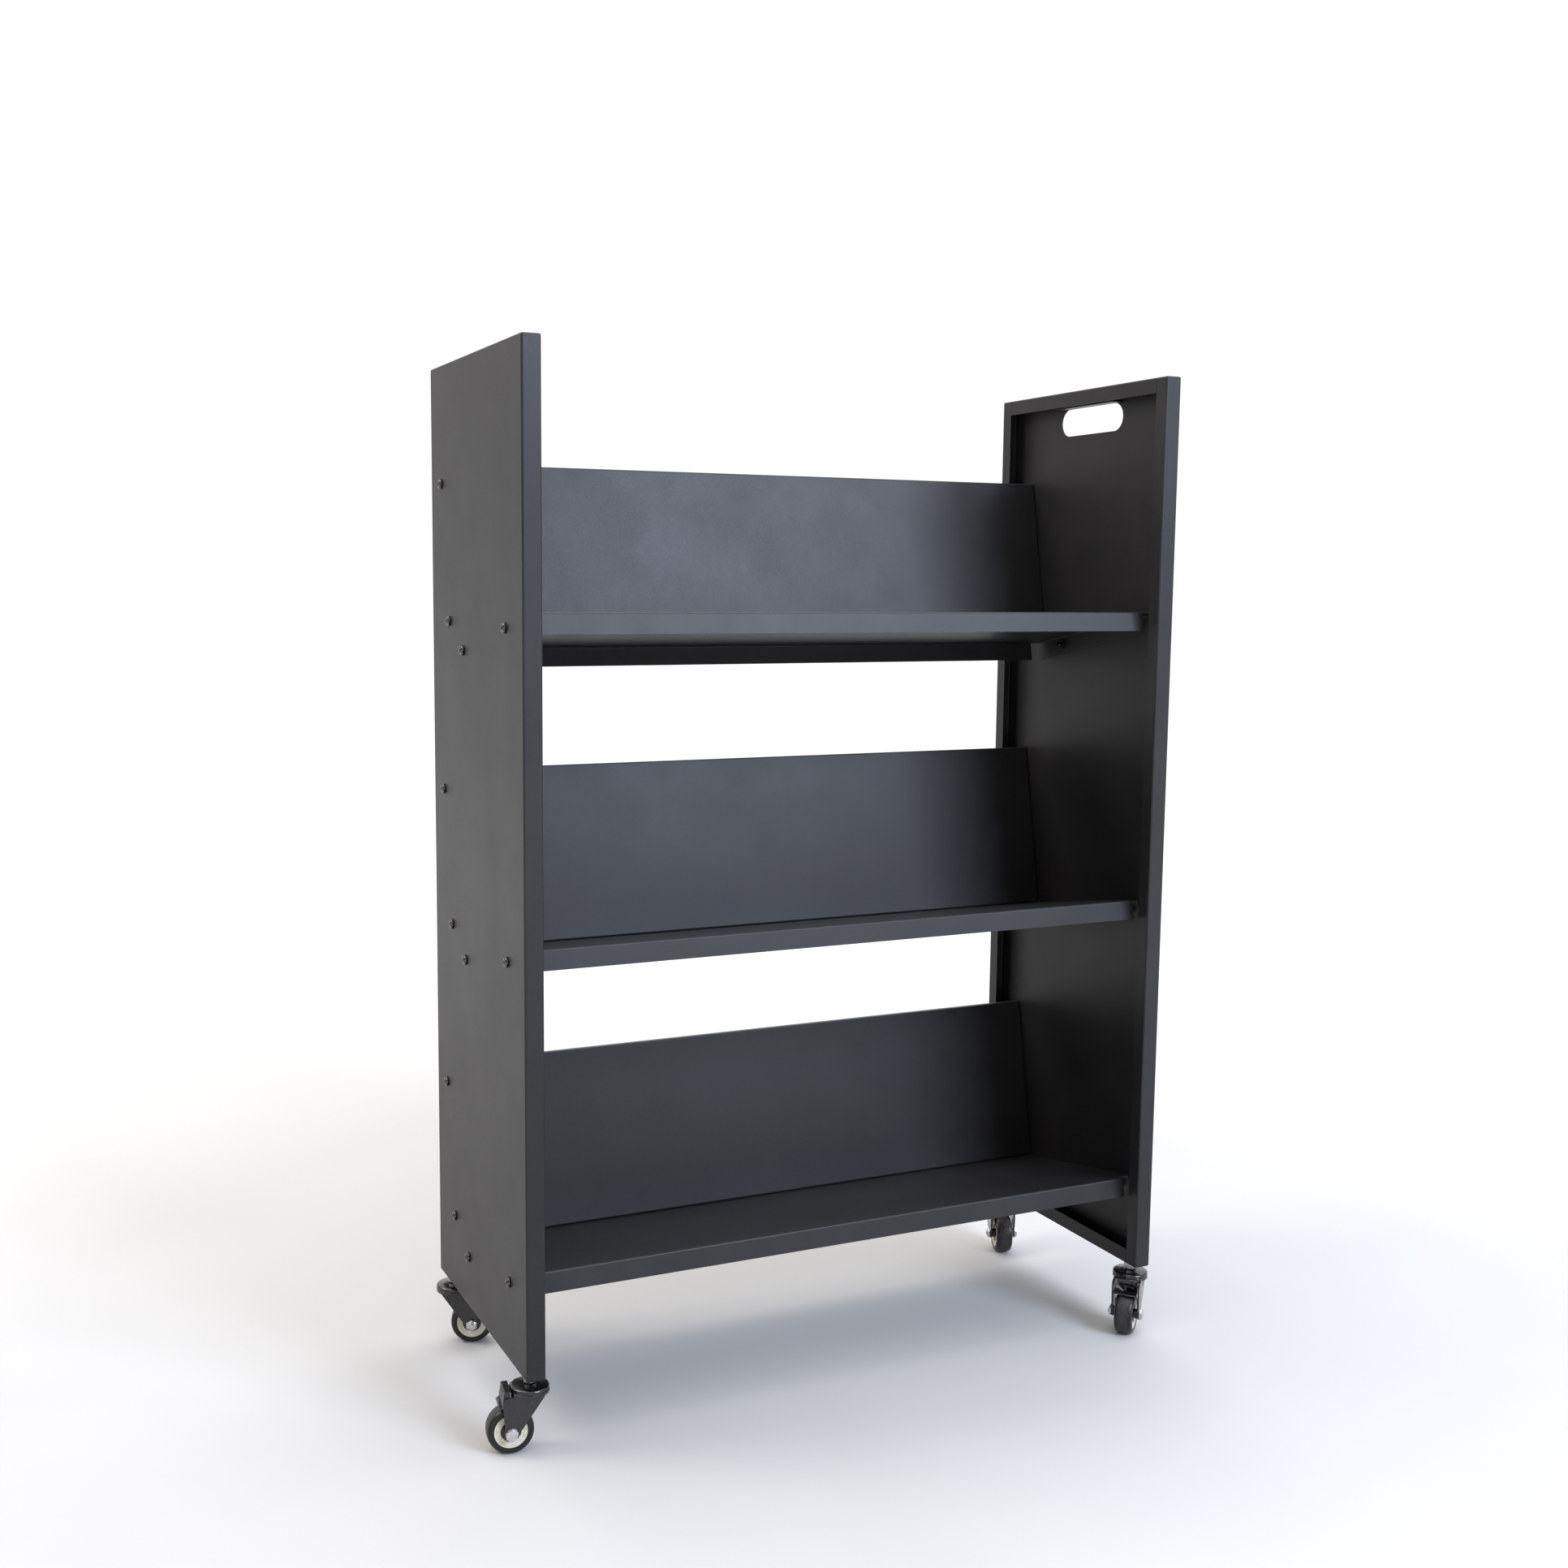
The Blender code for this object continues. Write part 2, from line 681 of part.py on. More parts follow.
def make_stem(name, parent, material):
    """The threaded stem with its hexagon, and the kingpin below it that holds the fork."""
    head_top = -FORK_HEAD_BOTTOM - GAP
    profile = (
        (0, STEM_LENGTH),
        (STEM_RADIUS - MM, STEM_LENGTH),
        (STEM_RADIUS, STEM_LENGTH - MM),
        (STEM_RADIUS, -STEM_HEX_HEIGHT / 2),
        (KINGPIN_RADIUS, -STEM_HEX_HEIGHT / 2),
        (KINGPIN_RADIUS, head_top),
        (KINGPIN_HEAD_RADIUS, head_top),
        (KINGPIN_HEAD_RADIUS, head_top - 1.4 * MM),
        (KINGPIN_HEAD_RADIUS * 0.6, head_top - 2.2 * MM),
        (0, head_top - 2.2 * MM),
    )
    stem = turned(name, profile, SEGMENTS_STEM, bpy.data.collections["book_cart"], material)
    hexagon = bmesh.new()
    add_cylinder(hexagon, (0, 0, -GAP), (0, 0, -STEM_HEX_HEIGHT), STEM_HEX_RADIUS, 6)
    cutter = cutter_from(f"{name}_hexagon", hexagon)
    combine(stem, cutter, "UNION")
    for piece in (stem, cutter):
        piece.parent = parent


def make_wheel(tag, parent, materials):
    """Tyre and hub, turned about the wheel's own Z, with a flat facet of the tyre downwards."""
    parts = bpy.data.collections["book_cart"]
    half, outer, inner = TYRE_HALF_WIDTH, WHEEL_RADIUS, TYRE_INNER_RADIUS
    # The facets' flats, and not their corners, are at the wheel's radius.
    outer = outer / math.cos(math.pi / SEGMENTS_TYRE)
    drop, inset = TYRE_SHOULDER
    tyre_profile = (
        (inner, half - 0.4 * MM),
        (inner + 2.5 * MM, half),
        (outer - drop, half - inset / 4),
        (outer, half - inset),
        (outer, inset - half),
        (outer - drop, inset / 4 - half),
        (inner + 2.5 * MM, -half),
        (inner, -half + 0.4 * MM),
    )
    tyre = turned(f"caster_{tag}_tyre", tyre_profile, SEGMENTS_TYRE, parts, materials["tyre_rubber"])
    rim = inner - GAP
    ring = half - 0.8 * MM
    web = 5 * MM
    bore = AXLE_HOLE_RADIUS
    hub_profile = (
        (bore, HUB_BOSS_HALF),
        (HUB_BOSS_RADIUS, HUB_BOSS_HALF),
        (HUB_BOSS_RADIUS, web),
        (HUB_CORE_RADIUS, web),
        (HUB_CORE_RADIUS, ring - MM),
        (rim, ring),
        (rim, -ring),
        (HUB_CORE_RADIUS, -ring + MM),
        (HUB_CORE_RADIUS, -web),
        (HUB_BOSS_RADIUS, -web),
        (HUB_BOSS_RADIUS, -HUB_BOSS_HALF),
        (bore, -HUB_BOSS_HALF),
    )
    hub = turned(f"caster_{tag}_hub", hub_profile, SEGMENTS_HUB, parts, materials["hub_plastic"])
    # Half a facet of turn puts a flat of the tyre, and not a corner, on the floor.
    for piece in (tyre, hub):
        piece.parent = parent
        piece.rotation_euler = (math.radians(90), math.pi / SEGMENTS_TYRE, 0)


def make_axle(tag, parent, material):
    """The axle bolt through the legs and the hub, and the nut on its other end."""
    parts = bpy.data.collections["book_cart"]
    face = FORK_OUTER_HALF + GAP
    bolt_bm = bmesh.new()
    add_cylinder(bolt_bm, (0, face, 0), (0, face + AXLE_HEX_HEIGHT, 0), AXLE_HEX_RADIUS, 6)
    bolt = object_from(f"caster_{tag}_axle_bolt", bolt_bm, parts, material)
    shank_bm = bmesh.new()
    add_cylinder(shank_bm, (0, -AXLE_TIP, 0), (0, face + MM, 0), AXLE_RADIUS, SEGMENTS_SMALL)
    shank = cutter_from(f"caster_{tag}_axle_shank", shank_bm)
    combine(bolt, shank, "UNION")
    nut_bm = bmesh.new()
    add_cylinder(nut_bm, (0, -face - AXLE_HEX_HEIGHT, 0), (0, -face, 0), AXLE_HEX_RADIUS, 6)
    nut = object_from(f"caster_{tag}_axle_nut", nut_bm, parts, material)
    hole_bm = bmesh.new()
    add_cylinder(
        hole_bm,
        (0, MM - face, 0),
        (0, -face - AXLE_HEX_HEIGHT - MM, 0),
        AXLE_RADIUS + GAP,
        SEGMENTS_SMALL,
    )
    hole = cutter_from(f"caster_{tag}_axle_nut_hole", hole_bm)
    combine(nut, hole, "DIFFERENCE")
    for piece in (bolt, shank, nut, hole):
        piece.parent = parent


def pedal_outline():
    """Side view of the brake pedal about its pivot: a square cap, a face plate and a foot lip."""
    reach, drop = PEDAL_LIP_REACH, PEDAL_LIP_DROP
    back = -PEDAL_BARREL_RADIUS - 0.7 * MM
    face = 5.6 * MM
    knee = drop - 2.8 * MM
    return [
        (back, 3.0 * MM),
        (back, PEDAL_CAP_HEIGHT - 0.6 * MM),
        (back + 0.6 * MM, PEDAL_CAP_HEIGHT),
        (face - 2.6 * MM, PEDAL_CAP_HEIGHT),
        (face - 1.4 * MM, PEDAL_CAP_HEIGHT - 1.4 * MM),
        (face, -knee),
        (reach, -drop),
        (reach - 0.4 * MM, -drop - 1.7 * MM),
        (face - 0.6 * MM, -knee - 2.6 * MM),
        (face - 2.7 * MM, -knee - 1.0 * MM),
        (face - 3.4 * MM, 0),
        (face - 4.4 * MM, 3.0 * MM),
    ]


def make_pedal(name, parent, material):
    """The brake pedal, whose origin is its pivot: two short journals turn in the fork legs."""
    half, reach = PEDAL_HALF_WIDTH, FORK_OUTER_HALF - 0.2 * MM
    blank = prism(pedal_outline(), half)
    pedal = object_from(name, blank, bpy.data.collections["book_cart"], material)
    barrel, journal = bmesh.new(), bmesh.new()
    add_cylinder(barrel, (0, -half, 0), (0, half, 0), PEDAL_BARREL_RADIUS, SEGMENTS_SMALL)
    add_cylinder(journal, (0, -reach, 0), (0, reach, 0), PEDAL_JOURNAL_RADIUS, SEGMENTS_SMALL)
    joined = (cutter_from(f"{name}_barrel", barrel), cutter_from(f"{name}_journal", journal))
    for piece in joined:
        combine(pedal, piece, "UNION")
    for piece in (pedal, *joined):
        piece.parent = parent


def new_empty(name, location, parent=None):
    empty = bpy.data.objects.new(name, None)
    bpy.data.collections["book_cart"].objects.link(empty)
    empty.location = location
    empty.parent = parent
    empty.empty_display_size = 20 * MM
    return empty


def make_caster(tag, side_x, side_y, heading, has_brake, materials):
    """A caster under one corner. Its local +X is its heading, from the stem towards the axle."""
    swivel = new_empty(f"caster_{tag}_swivel_axis", stem_point(side_x, side_y))
    swivel.rotation_euler = (0, 0, math.radians(heading))
    axle_place = (TRAIL, 0, -(FLOOR_CLEARANCE - WHEEL_RADIUS))
    axle = new_empty(f"caster_{tag}_wheel_axis", axle_place, swivel)
    make_stem(f"caster_{tag}_stem", swivel, materials["zinc_steel"])
    make_fork(f"caster_{tag}_fork", swivel, materials["black_fork"], has_brake)
    make_wheel(tag, axle, materials)
    make_axle(tag, axle, materials["zinc_steel"])
    if has_brake:
        x, z = PEDAL_PIVOT
        pivot = new_empty(f"caster_{tag}_pedal_axis", (x, 0, z), swivel)
        make_pedal(f"caster_{tag}_brake_pedal", pivot, materials["black_fork"])


# ---------------------------------------------------------------- assembly


def evaluated_box():
    """The lowest and highest corner of all parts, from their evaluated meshes."""
    graph = bpy.context.evaluated_depsgraph_get()
    corners = []
    for obj in bpy.data.collections["book_cart"].objects:
        if obj.type != "MESH":
            continue
        evaluated = obj.evaluated_get(graph)
        matrix = evaluated.matrix_world
        corners += [matrix @ vertex.co for vertex in evaluated.data.vertices]
    low = Vector(min(corner[i] for corner in corners) for i in range(3))
    high = Vector(max(corner[i] for corner in corners) for i in range(3))
    return low, high


def stand_on_origin():
    """Moves the cart so that the middle of its box's bottom is at the origin."""
    bpy.context.view_layer.update()
    low, high = evaluated_box()
    shift = Vector(((low.x + high.x) / 2, (low.y + high.y) / 2, low.z))
    for obj in bpy.data.objects:
        if obj.parent is None:
            obj.location -= shift


def make_cart():
    clear_scene()
    new_collection("book_cart")
    new_collection("cutters", hidden=True)
    materials = make_materials()
    coat = materials["powder_coat"]
    make_end_panel("left_end_panel", -1, coat, has_slot=False)
    make_end_panel("right_end_panel", 1, coat, has_slot=True)
    for shelf, height in zip(SHELF_NAMES, SHELF_HEIGHTS):
        frame = shelf_matrix(height)
        make_tray(f"{shelf}_tray", frame, coat)
        make_back_plate(f"{shelf}_back_plate", frame, coat)
    make_shelf_bolts(materials["shelf_bolt"])
    for tag, (side_x, side_y, heading, has_brake) in CASTERS.items():
        make_caster(tag, side_x, side_y, heading, has_brake, materials)
    stand_on_origin()


make_cart()
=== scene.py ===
"""The looks of the steel book cart: fine meshes, materials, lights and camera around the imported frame.

Every piece is built in metres in the frame's own axes, and rides on the body of the CAD node that it
stands for: +X runs along the shelves, +Y points from the open front to the back and +Z is up.
"""

import json
import math

import bmesh
import bpy
from mathutils import Matrix, Vector

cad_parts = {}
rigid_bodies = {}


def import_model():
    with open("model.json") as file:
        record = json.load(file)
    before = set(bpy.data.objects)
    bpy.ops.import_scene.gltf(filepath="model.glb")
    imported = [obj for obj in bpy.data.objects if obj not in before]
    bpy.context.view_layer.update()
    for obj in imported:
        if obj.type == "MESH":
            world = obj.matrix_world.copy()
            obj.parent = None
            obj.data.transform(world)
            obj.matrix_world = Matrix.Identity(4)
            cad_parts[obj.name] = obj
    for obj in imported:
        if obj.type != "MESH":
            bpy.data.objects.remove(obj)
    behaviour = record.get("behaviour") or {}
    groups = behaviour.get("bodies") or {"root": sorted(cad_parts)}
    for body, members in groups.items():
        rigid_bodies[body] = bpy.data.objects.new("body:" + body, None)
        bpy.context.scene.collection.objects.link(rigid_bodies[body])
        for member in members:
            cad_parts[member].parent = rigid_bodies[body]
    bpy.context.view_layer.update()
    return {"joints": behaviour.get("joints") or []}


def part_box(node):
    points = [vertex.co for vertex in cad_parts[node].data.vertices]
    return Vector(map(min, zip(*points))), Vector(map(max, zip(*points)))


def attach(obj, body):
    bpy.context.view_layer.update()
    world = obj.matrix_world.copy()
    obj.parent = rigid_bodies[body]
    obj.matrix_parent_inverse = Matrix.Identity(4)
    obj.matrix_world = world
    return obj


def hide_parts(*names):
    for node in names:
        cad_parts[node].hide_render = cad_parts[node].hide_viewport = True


MM = 0.001
GAP = 0.3 * MM

# Folded sheet
SHEET = 1.2 * MM
BEND_RADIUS = 2.4 * MM
BEND_SEGMENTS = 5
PANEL_LIP = 19 * MM
SEAM_WIDTH = 0.5 * MM
CUT_MARGIN = 2 * MM

# Shelves: run goes back along the leaning tray, rise stands up from it
SHELF_HEIGHTS = {"top": 836 * MM, "middle": 473 * MM, "bottom": 110 * MM}
SHELF_FRONT = 32 * MM
LEAN = math.radians(10.5)
TRAY_RUN = 255 * MM
TRAY_FLANGE = 24 * MM
TRAY_FRONT_NOTCH = (20 * MM, 14 * MM)
TRAY_REAR_NOTCH = (12 * MM, 3 * MM)
BACK_RUN = 234 * MM
BACK_RISE = 217 * MM
BACK_FLANGE = 15 * MM
TRAY_BOLTS = {"tray_front": (30.7 * MM, -12 * MM), "tray_rear": (193.5 * MM, -12 * MM)}
BACK_BOLTS = {"back_low": (242.5 * MM, 30.3 * MM), "back_high": (242.5 * MM, 193.8 * MM)}

# Handle slot
SLOT_LENGTH = 130 * MM
SLOT_WIDTH = 35 * MM
SLOT_TOP = 20 * MM
GRIP_FLAP_DEPTH = 15 * MM
GRIP_FLAP_LENGTH = 122 * MM

# Shelf bolts
BOLT_HOLE_RADIUS = 3.4 * MM
BOLT_RADIUS = 3.0 * MM
BOLT_HEAD_RADIUS = 5.9 * MM
BOLT_HEAD_HEIGHT = 3.5 * MM
BOLT_SOCKET_RADIUS = 2.3 * MM
BOLT_LENGTH = 12 * MM
WELD_NUT_RADIUS = 5.4 * MM
WELD_NUT_HEIGHT = 5 * MM

# Casters, measured from the foot of the stem: +X is the heading, +Y the wheel's axis
STEM_INSET_Y = 24 * MM
STEM_RADIUS = 4.8 * MM
STEM_LENGTH = 14 * MM
STEM_BUSH_RADIUS = 8.2 * MM
STEM_HEX_RADIUS = 8.1 * MM
STEM_HEX_HEIGHT = 8.5 * MM
KINGPIN_RADIUS = 3.7 * MM
KINGPIN_HEAD_RADIUS = 7 * MM
FORK_HEAD_RADIUS = 22 * MM
FORK_HEAD_TOP = 9.4 * MM
FORK_HEAD_BOTTOM = 20.3 * MM
FORK_PLATE_TOP = 15 * MM
FORK_INNER_HALF = 15.2 * MM
FORK_OUTER_HALF = 17.4 * MM
FORK_REAR = 14 * MM
FORK_FRONT = 31.5 * MM
FORK_PLATE_FRONT = 20 * MM
LEG_END_RADIUS = 7 * MM
LEG_EDGE_ROUNDING = 0.5 * MM
AXLE_DROP = 60 * MM
TRAIL = 22.5 * MM
WHEEL_RADIUS = 26.5 * MM
TYRE_HALF_WIDTH = 11.6 * MM
TYRE_INNER_RADIUS = 19.0 * MM
HUB_CORE_RADIUS = 11.4 * MM
HUB_BOSS_RADIUS = 6.2 * MM
HUB_BOSS_HALF = 14.9 * MM
AXLE_RADIUS = 3.0 * MM
AXLE_HOLE_RADIUS = 3.4 * MM
AXLE_HEX_RADIUS = 7.3 * MM
AXLE_HEX_HEIGHT = 3.5 * MM
AXLE_TIP = 22.6 * MM
PEDAL_HALF_WIDTH = 14.7 * MM
PEDAL_PIVOT = (26.5 * MM, -22.5 * MM)
PEDAL_BARREL_RADIUS = 3.2 * MM
PEDAL_CAP_HEIGHT = 10 * MM
PEDAL_LIP_REACH = 9.5 * MM
PEDAL_LIP_DROP = 8.8 * MM
PEDAL_JOURNAL_RADIUS = 1.5 * MM
PEDAL_HOLE_RADIUS = 1.85 * MM

CORNERS = ("front_left", "front_right", "rear_left", "rear_right")
ROUND_SEGMENTS = 32
HOLE_SEGMENTS = 20
WHEEL_SEGMENTS = 96
HEX_SIDES = 6
SMOOTH_ANGLE = math.radians(32)
FLAT_ANGLE = math.radians(0.5)
BEVEL_SEGMENTS = 3

# Sockets of the Mix node, which has one set of them for each kind of data: these are its colours
MIX_FIRST = 6
MIX_SECOND = 7
MIX_RESULT = 2

# Camera: its place is measured from the low outer front corner of the left end panel
SENSOR_WIDTH = 36
LENS_LENGTH = 39.75
LENS_SHIFT = 0.0506
CAMERA_YAW = math.radians(-24.08)
CAMERA_TILT = math.radians(-6.51)
CAMERA_ROLL = math.radians(0.355)
CAMERA_PLACE = Vector((-0.5608, -1.7190, 0.8639))


# ---------------------------------------------------------------- the frame


for startup in list(bpy.data.objects):
    bpy.data.objects.remove(startup, do_unlink=True)
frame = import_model()

JOINTS = {joint["name"]: joint for joint in frame["joints"]}
PANEL_BOX = {-1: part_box("left_end_panel"), 1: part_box("right_end_panel")}
PANEL_LOW = PANEL_BOX[-1][0]
PANEL_HIGH = PANEL_BOX[1][1]
PANEL_THICKNESS = PANEL_BOX[-1][1].x - PANEL_BOX[-1][0].x
MIDDLE_X = (PANEL_LOW.x + PANEL_HIGH.x) / 2
MIDDLE_Y = (PANEL_LOW.y + PANEL_HIGH.y) / 2


def outer_face(side):
    """X of an end panel's outer face."""
    return PANEL_HIGH.x if side > 0 else PANEL_LOW.x


def inward(side, depth):
    """X at a depth measured inwards from an end panel's outer face."""
    return outer_face(side) - side * depth


def shelf_matrix(height):
    """The leaning frame of a shelf: its origin is the middle of the tray's front top edge."""
    place = Matrix.Translation((MIDDLE_X, PANEL_LOW.y + SHELF_FRONT, PANEL_LOW.z + height))
    return place @ Matrix.Rotation(-LEAN, 4, "X")


def bolt_points():
    """Every shelf bolt's name and place (Y, Z) in an end panel."""
    points = {}
    for shelf, height in SHELF_HEIGHTS.items():
        matrix = shelf_matrix(height)
        for label, (run, rise) in (TRAY_BOLTS | BACK_BOLTS).items():
            point = matrix @ Vector((0, run, rise))
            points[f"{shelf}_{label}"] = (point.y, point.z)
    return points


def swivel_matrix(corner):
    """A caster's frame: its origin is the foot of its stem, and +X is its heading."""
    foot = Vector(JOINTS[f"{corner}_swivel_turn"]["pos_m"])
    wheel = JOINTS[f"{corner}_wheel_spin"]
    across = Vector(wheel["axis"]).normalized()
    heading = across.cross(Vector((0, 0, 1)))
    matrix = Matrix((heading, across, (0, 0, 1))).transposed().to_4x4()
    matrix.translation = foot
    return matrix


def wheel_matrix(corner):
    """A wheel's frame: its origin is the middle of the axle, and +Z runs along the axle."""
    turn = Matrix.Rotation(math.radians(-90), 4, "X")
    return swivel_matrix(corner) @ Matrix.Translation((TRAIL, 0, -AXLE_DROP)) @ turn


# ---------------------------------------------------------------- mesh tools


def scratch_object(name, bm):
    """A bmesh as an object that carved() takes away again."""
    bmesh.ops.recalc_face_normals(bm, faces=bm.faces)
    mesh = bpy.data.meshes.new(name)
    bm.to_mesh(mesh)
    bm.free()
    obj = bpy.data.objects.new(name, mesh)
    bpy.context.scene.collection.objects.link(obj)
    return obj


def carved(name, blank, steps=(), bevel=0.0):
    """The mesh of a blank after a list of (tool, Boolean operation), with its sharp edges bevelled."""
    base = scratch_object(f"{name}_blank", blank)
    tools = []
    for number, (tool, operation) in enumerate(steps):
        tools.append(scratch_object(f"{name}_tool_{number}", tool))
        modifier = base.modifiers.new(f"step_{number}", "BOOLEAN")
        modifier.operation = operation
        modifier.object = tools[-1]
    if bevel:
        modifier = base.modifiers.new("flats", "DECIMATE")
        modifier.decimate_type = "DISSOLVE"
        modifier.angle_limit = FLAT_ANGLE
        modifier = base.modifiers.new("edges", "BEVEL")
        modifier.width = bevel
        modifier.segments = BEVEL_SEGMENTS
        modifier.limit_method = "ANGLE"
        modifier.angle_limit = SMOOTH_ANGLE
    graph = bpy.context.evaluated_depsgraph_get()
    graph.update()
    mesh = bpy.data.meshes.new_from_object(base.evaluated_get(graph))
    mesh.name = name
    for obj in (base, *tools):
        bpy.data.objects.remove(obj, do_unlink=True)
    mesh.shade_smooth()
    mesh.set_sharp_from_angle(angle=SMOOTH_ANGLE)
    return mesh


def show(name, mesh, material, body, replaced=(), matrix=Matrix.Identity(4)):
    """Places a mesh in the scene as a piece that rides on a body and stands for CAD nodes.

    Its points move to their place in the cart. The place that each had before stays with it as an
    attribute, for the material's patterns.
    """
    place = mesh.attributes.new("place", "FLOAT_VECTOR", "POINT")
    for vertex, value in zip(mesh.vertices, place.data):
        value.vector = vertex.co
    mesh.transform(matrix)
    mesh.materials.append(material)
    piece = bpy.data.objects.new(name, mesh)
    bpy.context.scene.collection.objects.link(piece)
    normals = piece.modifiers.new("normals", "WEIGHTED_NORMAL")
    normals.keep_sharp = True
    normals.weight = 100
    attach(piece, body)
    if replaced:
        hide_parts(*replaced)
    return piece


def add_box(bm, low, high):
    """A box between two corners, given in any order."""
    low, high = Vector(low), Vector(high)
    size = Vector(abs(b - a) for a, b in zip(low, high))
    matrix = Matrix.Translation((low + high) / 2) @ Matrix.Diagonal((*size, 1))
    bmesh.ops.create_cube(bm, size=1, matrix=matrix)


def box_of(low, high):
    bm = bmesh.new()
    add_box(bm, low, high)
    return bm


def add_cylinder(bm, start, end, radius, segments=ROUND_SEGMENTS):
    """A closed cylinder from start to end."""
    start, end = Vector(start), Vector(end)
    axis = end - start
    turn = axis.to_track_quat("Z", "Y").to_matrix().to_4x4()
    bmesh.ops.create_cone(
        bm,
        cap_ends=True,
        segments=segments,
        radius1=radius,
        radius2=radius,
        depth=axis.length,
        matrix=Matrix.Translation((start + end) / 2) @ turn,
    )


def cylinder_of(start, end, radius, segments=ROUND_SEGMENTS):
    bm = bmesh.new()
    add_cylinder(bm, start, end, radius, segments)
    return bm


def round_edges(bm, width, chosen):
    """Rounds the edges whose two ends satisfy chosen(first, second)."""
    edges = [edge for edge in bm.edges if chosen(edge.verts[0].co, edge.verts[1].co)]
    bmesh.ops.bevel(
        bm, geom=edges, offset=width, segments=BEND_SEGMENTS, profile=0.5, affect="EDGES"
    )


def prism(outline, half_width):
    """A bmesh of an X-Z outline extruded along Y to both sides of the X-Z plane."""
    bm = bmesh.new()
    face = bm.faces.new([bm.verts.new((x, -half_width, z)) for x, z in outline])
    extruded = bmesh.ops.extrude_face_region(bm, geom=[face])["geom"]
    moved = [item for item in extruded if isinstance(item, bmesh.types.BMVert)]
    bmesh.ops.translate(bm, verts=moved, vec=(0, 2 * half_width, 0))
    return bm


def arc(centre, radius, start, end, count):
    """Points on an arc, from angle start to angle end in degrees."""
    angles = [math.radians(start + (end - start) * i / count) for i in range(count + 1)]
    return [(centre[0] + radius * math.cos(a), centre[1] + radius * math.sin(a)) for a in angles]


def lathe(profile, segments=ROUND_SEGMENTS):
    """A closed bmesh turned about Z from the (radius, height) points of a closed or axis-to-axis line."""
    bm = bmesh.new()
    verts = [bm.verts.new((radius, 0, height)) for radius, height in profile]
    pairs = list(zip(verts, verts[1:]))
    if profile[0][0] > 0:
        pairs.append((verts[-1], verts[0]))
    edges = [bm.edges.new(pair) for pair in pairs]
    bmesh.ops.spin(
        bm,
        geom=verts + edges,
        axis=(0, 0, 1),
        cent=(0, 0, 0),
        angle=math.tau,
        steps=segments,
        use_merge=True,
    )
    bmesh.ops.remove_doubles(bm, verts=bm.verts, dist=0.001 * MM)
    return bm


# ---------------------------------------------------------------- material tools


class Surface:
    """A Principled material with short names for the nodes that feed it."""

    def __init__(self, name, **constants):
        self.material = bpy.data.materials.new(name)
        self.material.use_nodes = True
        self.tree = self.material.node_tree
        self.shader = self.tree.nodes["Principled BSDF"]
        for socket, value in constants.items():
            self.shader.inputs[socket.replace("_", " ")].default_value = value
        self.place = self.node("ShaderNodeAttribute", {}, attribute_name="place").outputs["Vector"]

    def feed(self, socket, source):
        self.tree.links.new(source, self.shader.inputs[socket])

    def node(self, kind, sources, **settings):
        made = self.tree.nodes.new(kind)
        for key, value in settings.items():
            setattr(made, key, value)
        for socket, value in sources.items():
            if isinstance(value, bpy.types.NodeSocket):
                self.tree.links.new(value, made.inputs[socket])
            else:
                made.inputs[socket].default_value = value
        return made

    def noise(self, scale, detail=3.0, roughness=0.5, place=None):
        """Noise with features of about 1 / scale metres."""
        sources = {
            "Vector": place or self.place,
            "Scale": scale,
            "Detail": detail,
            "Roughness": roughness,
        }
        return self.node("ShaderNodeTexNoise", sources).outputs["Fac"]

    def stretched(self, x, y, z):
        """The place, scaled differently along each axis."""
        made = self.node("ShaderNodeMapping", {"Vector": self.place, "Scale": (x, y, z)})
        return made.outputs["Vector"]

    def spread(self, fac, low, high, to_low, to_high):
        """Maps fac from low..high to to_low..to_high, without going past either end."""
        sources = {
            "Value": fac,
            "From Min": low,
            "From Max": high,
            "To Min": to_low,
            "To Max": to_high,
        }
        return self.node("ShaderNodeMapRange", sources).outputs["Result"]

    def blend(self, fac, first, second):
        """A colour between two colours."""
        made = self.node("ShaderNodeMix", {"Factor": fac}, data_type="RGBA")
        for socket, value in ((MIX_FIRST, first), (MIX_SECOND, second)):
            if isinstance(value, bpy.types.NodeSocket):
                self.tree.links.new(value, made.inputs[socket])
            else:
                made.inputs[socket].default_value = (*value, 1)
        return made.outputs[MIX_RESULT]

    def maths(self, operation, first, second):
        made = self.tree.nodes.new("ShaderNodeMath")
        made.operation = operation
        for socket, value in zip(made.inputs, (first, second)):
            if isinstance(value, bpy.types.NodeSocket):
                self.tree.links.new(value, socket)
            else:
                socket.default_value = value
        return made.outputs[0]

    def axis(self, letter):
        """One coordinate of the place."""
        made = self.node("ShaderNodeSeparateXYZ", {"Vector": self.place})
        return made.outputs[letter]

    def bump(self, height, strength, distance, normal=None):
        sources = {"Height": height, "Strength": strength, "Distance": distance}
        if normal:
            sources["Normal"] = normal
        return self.node("ShaderNodeBump", sources).outputs["Normal"]


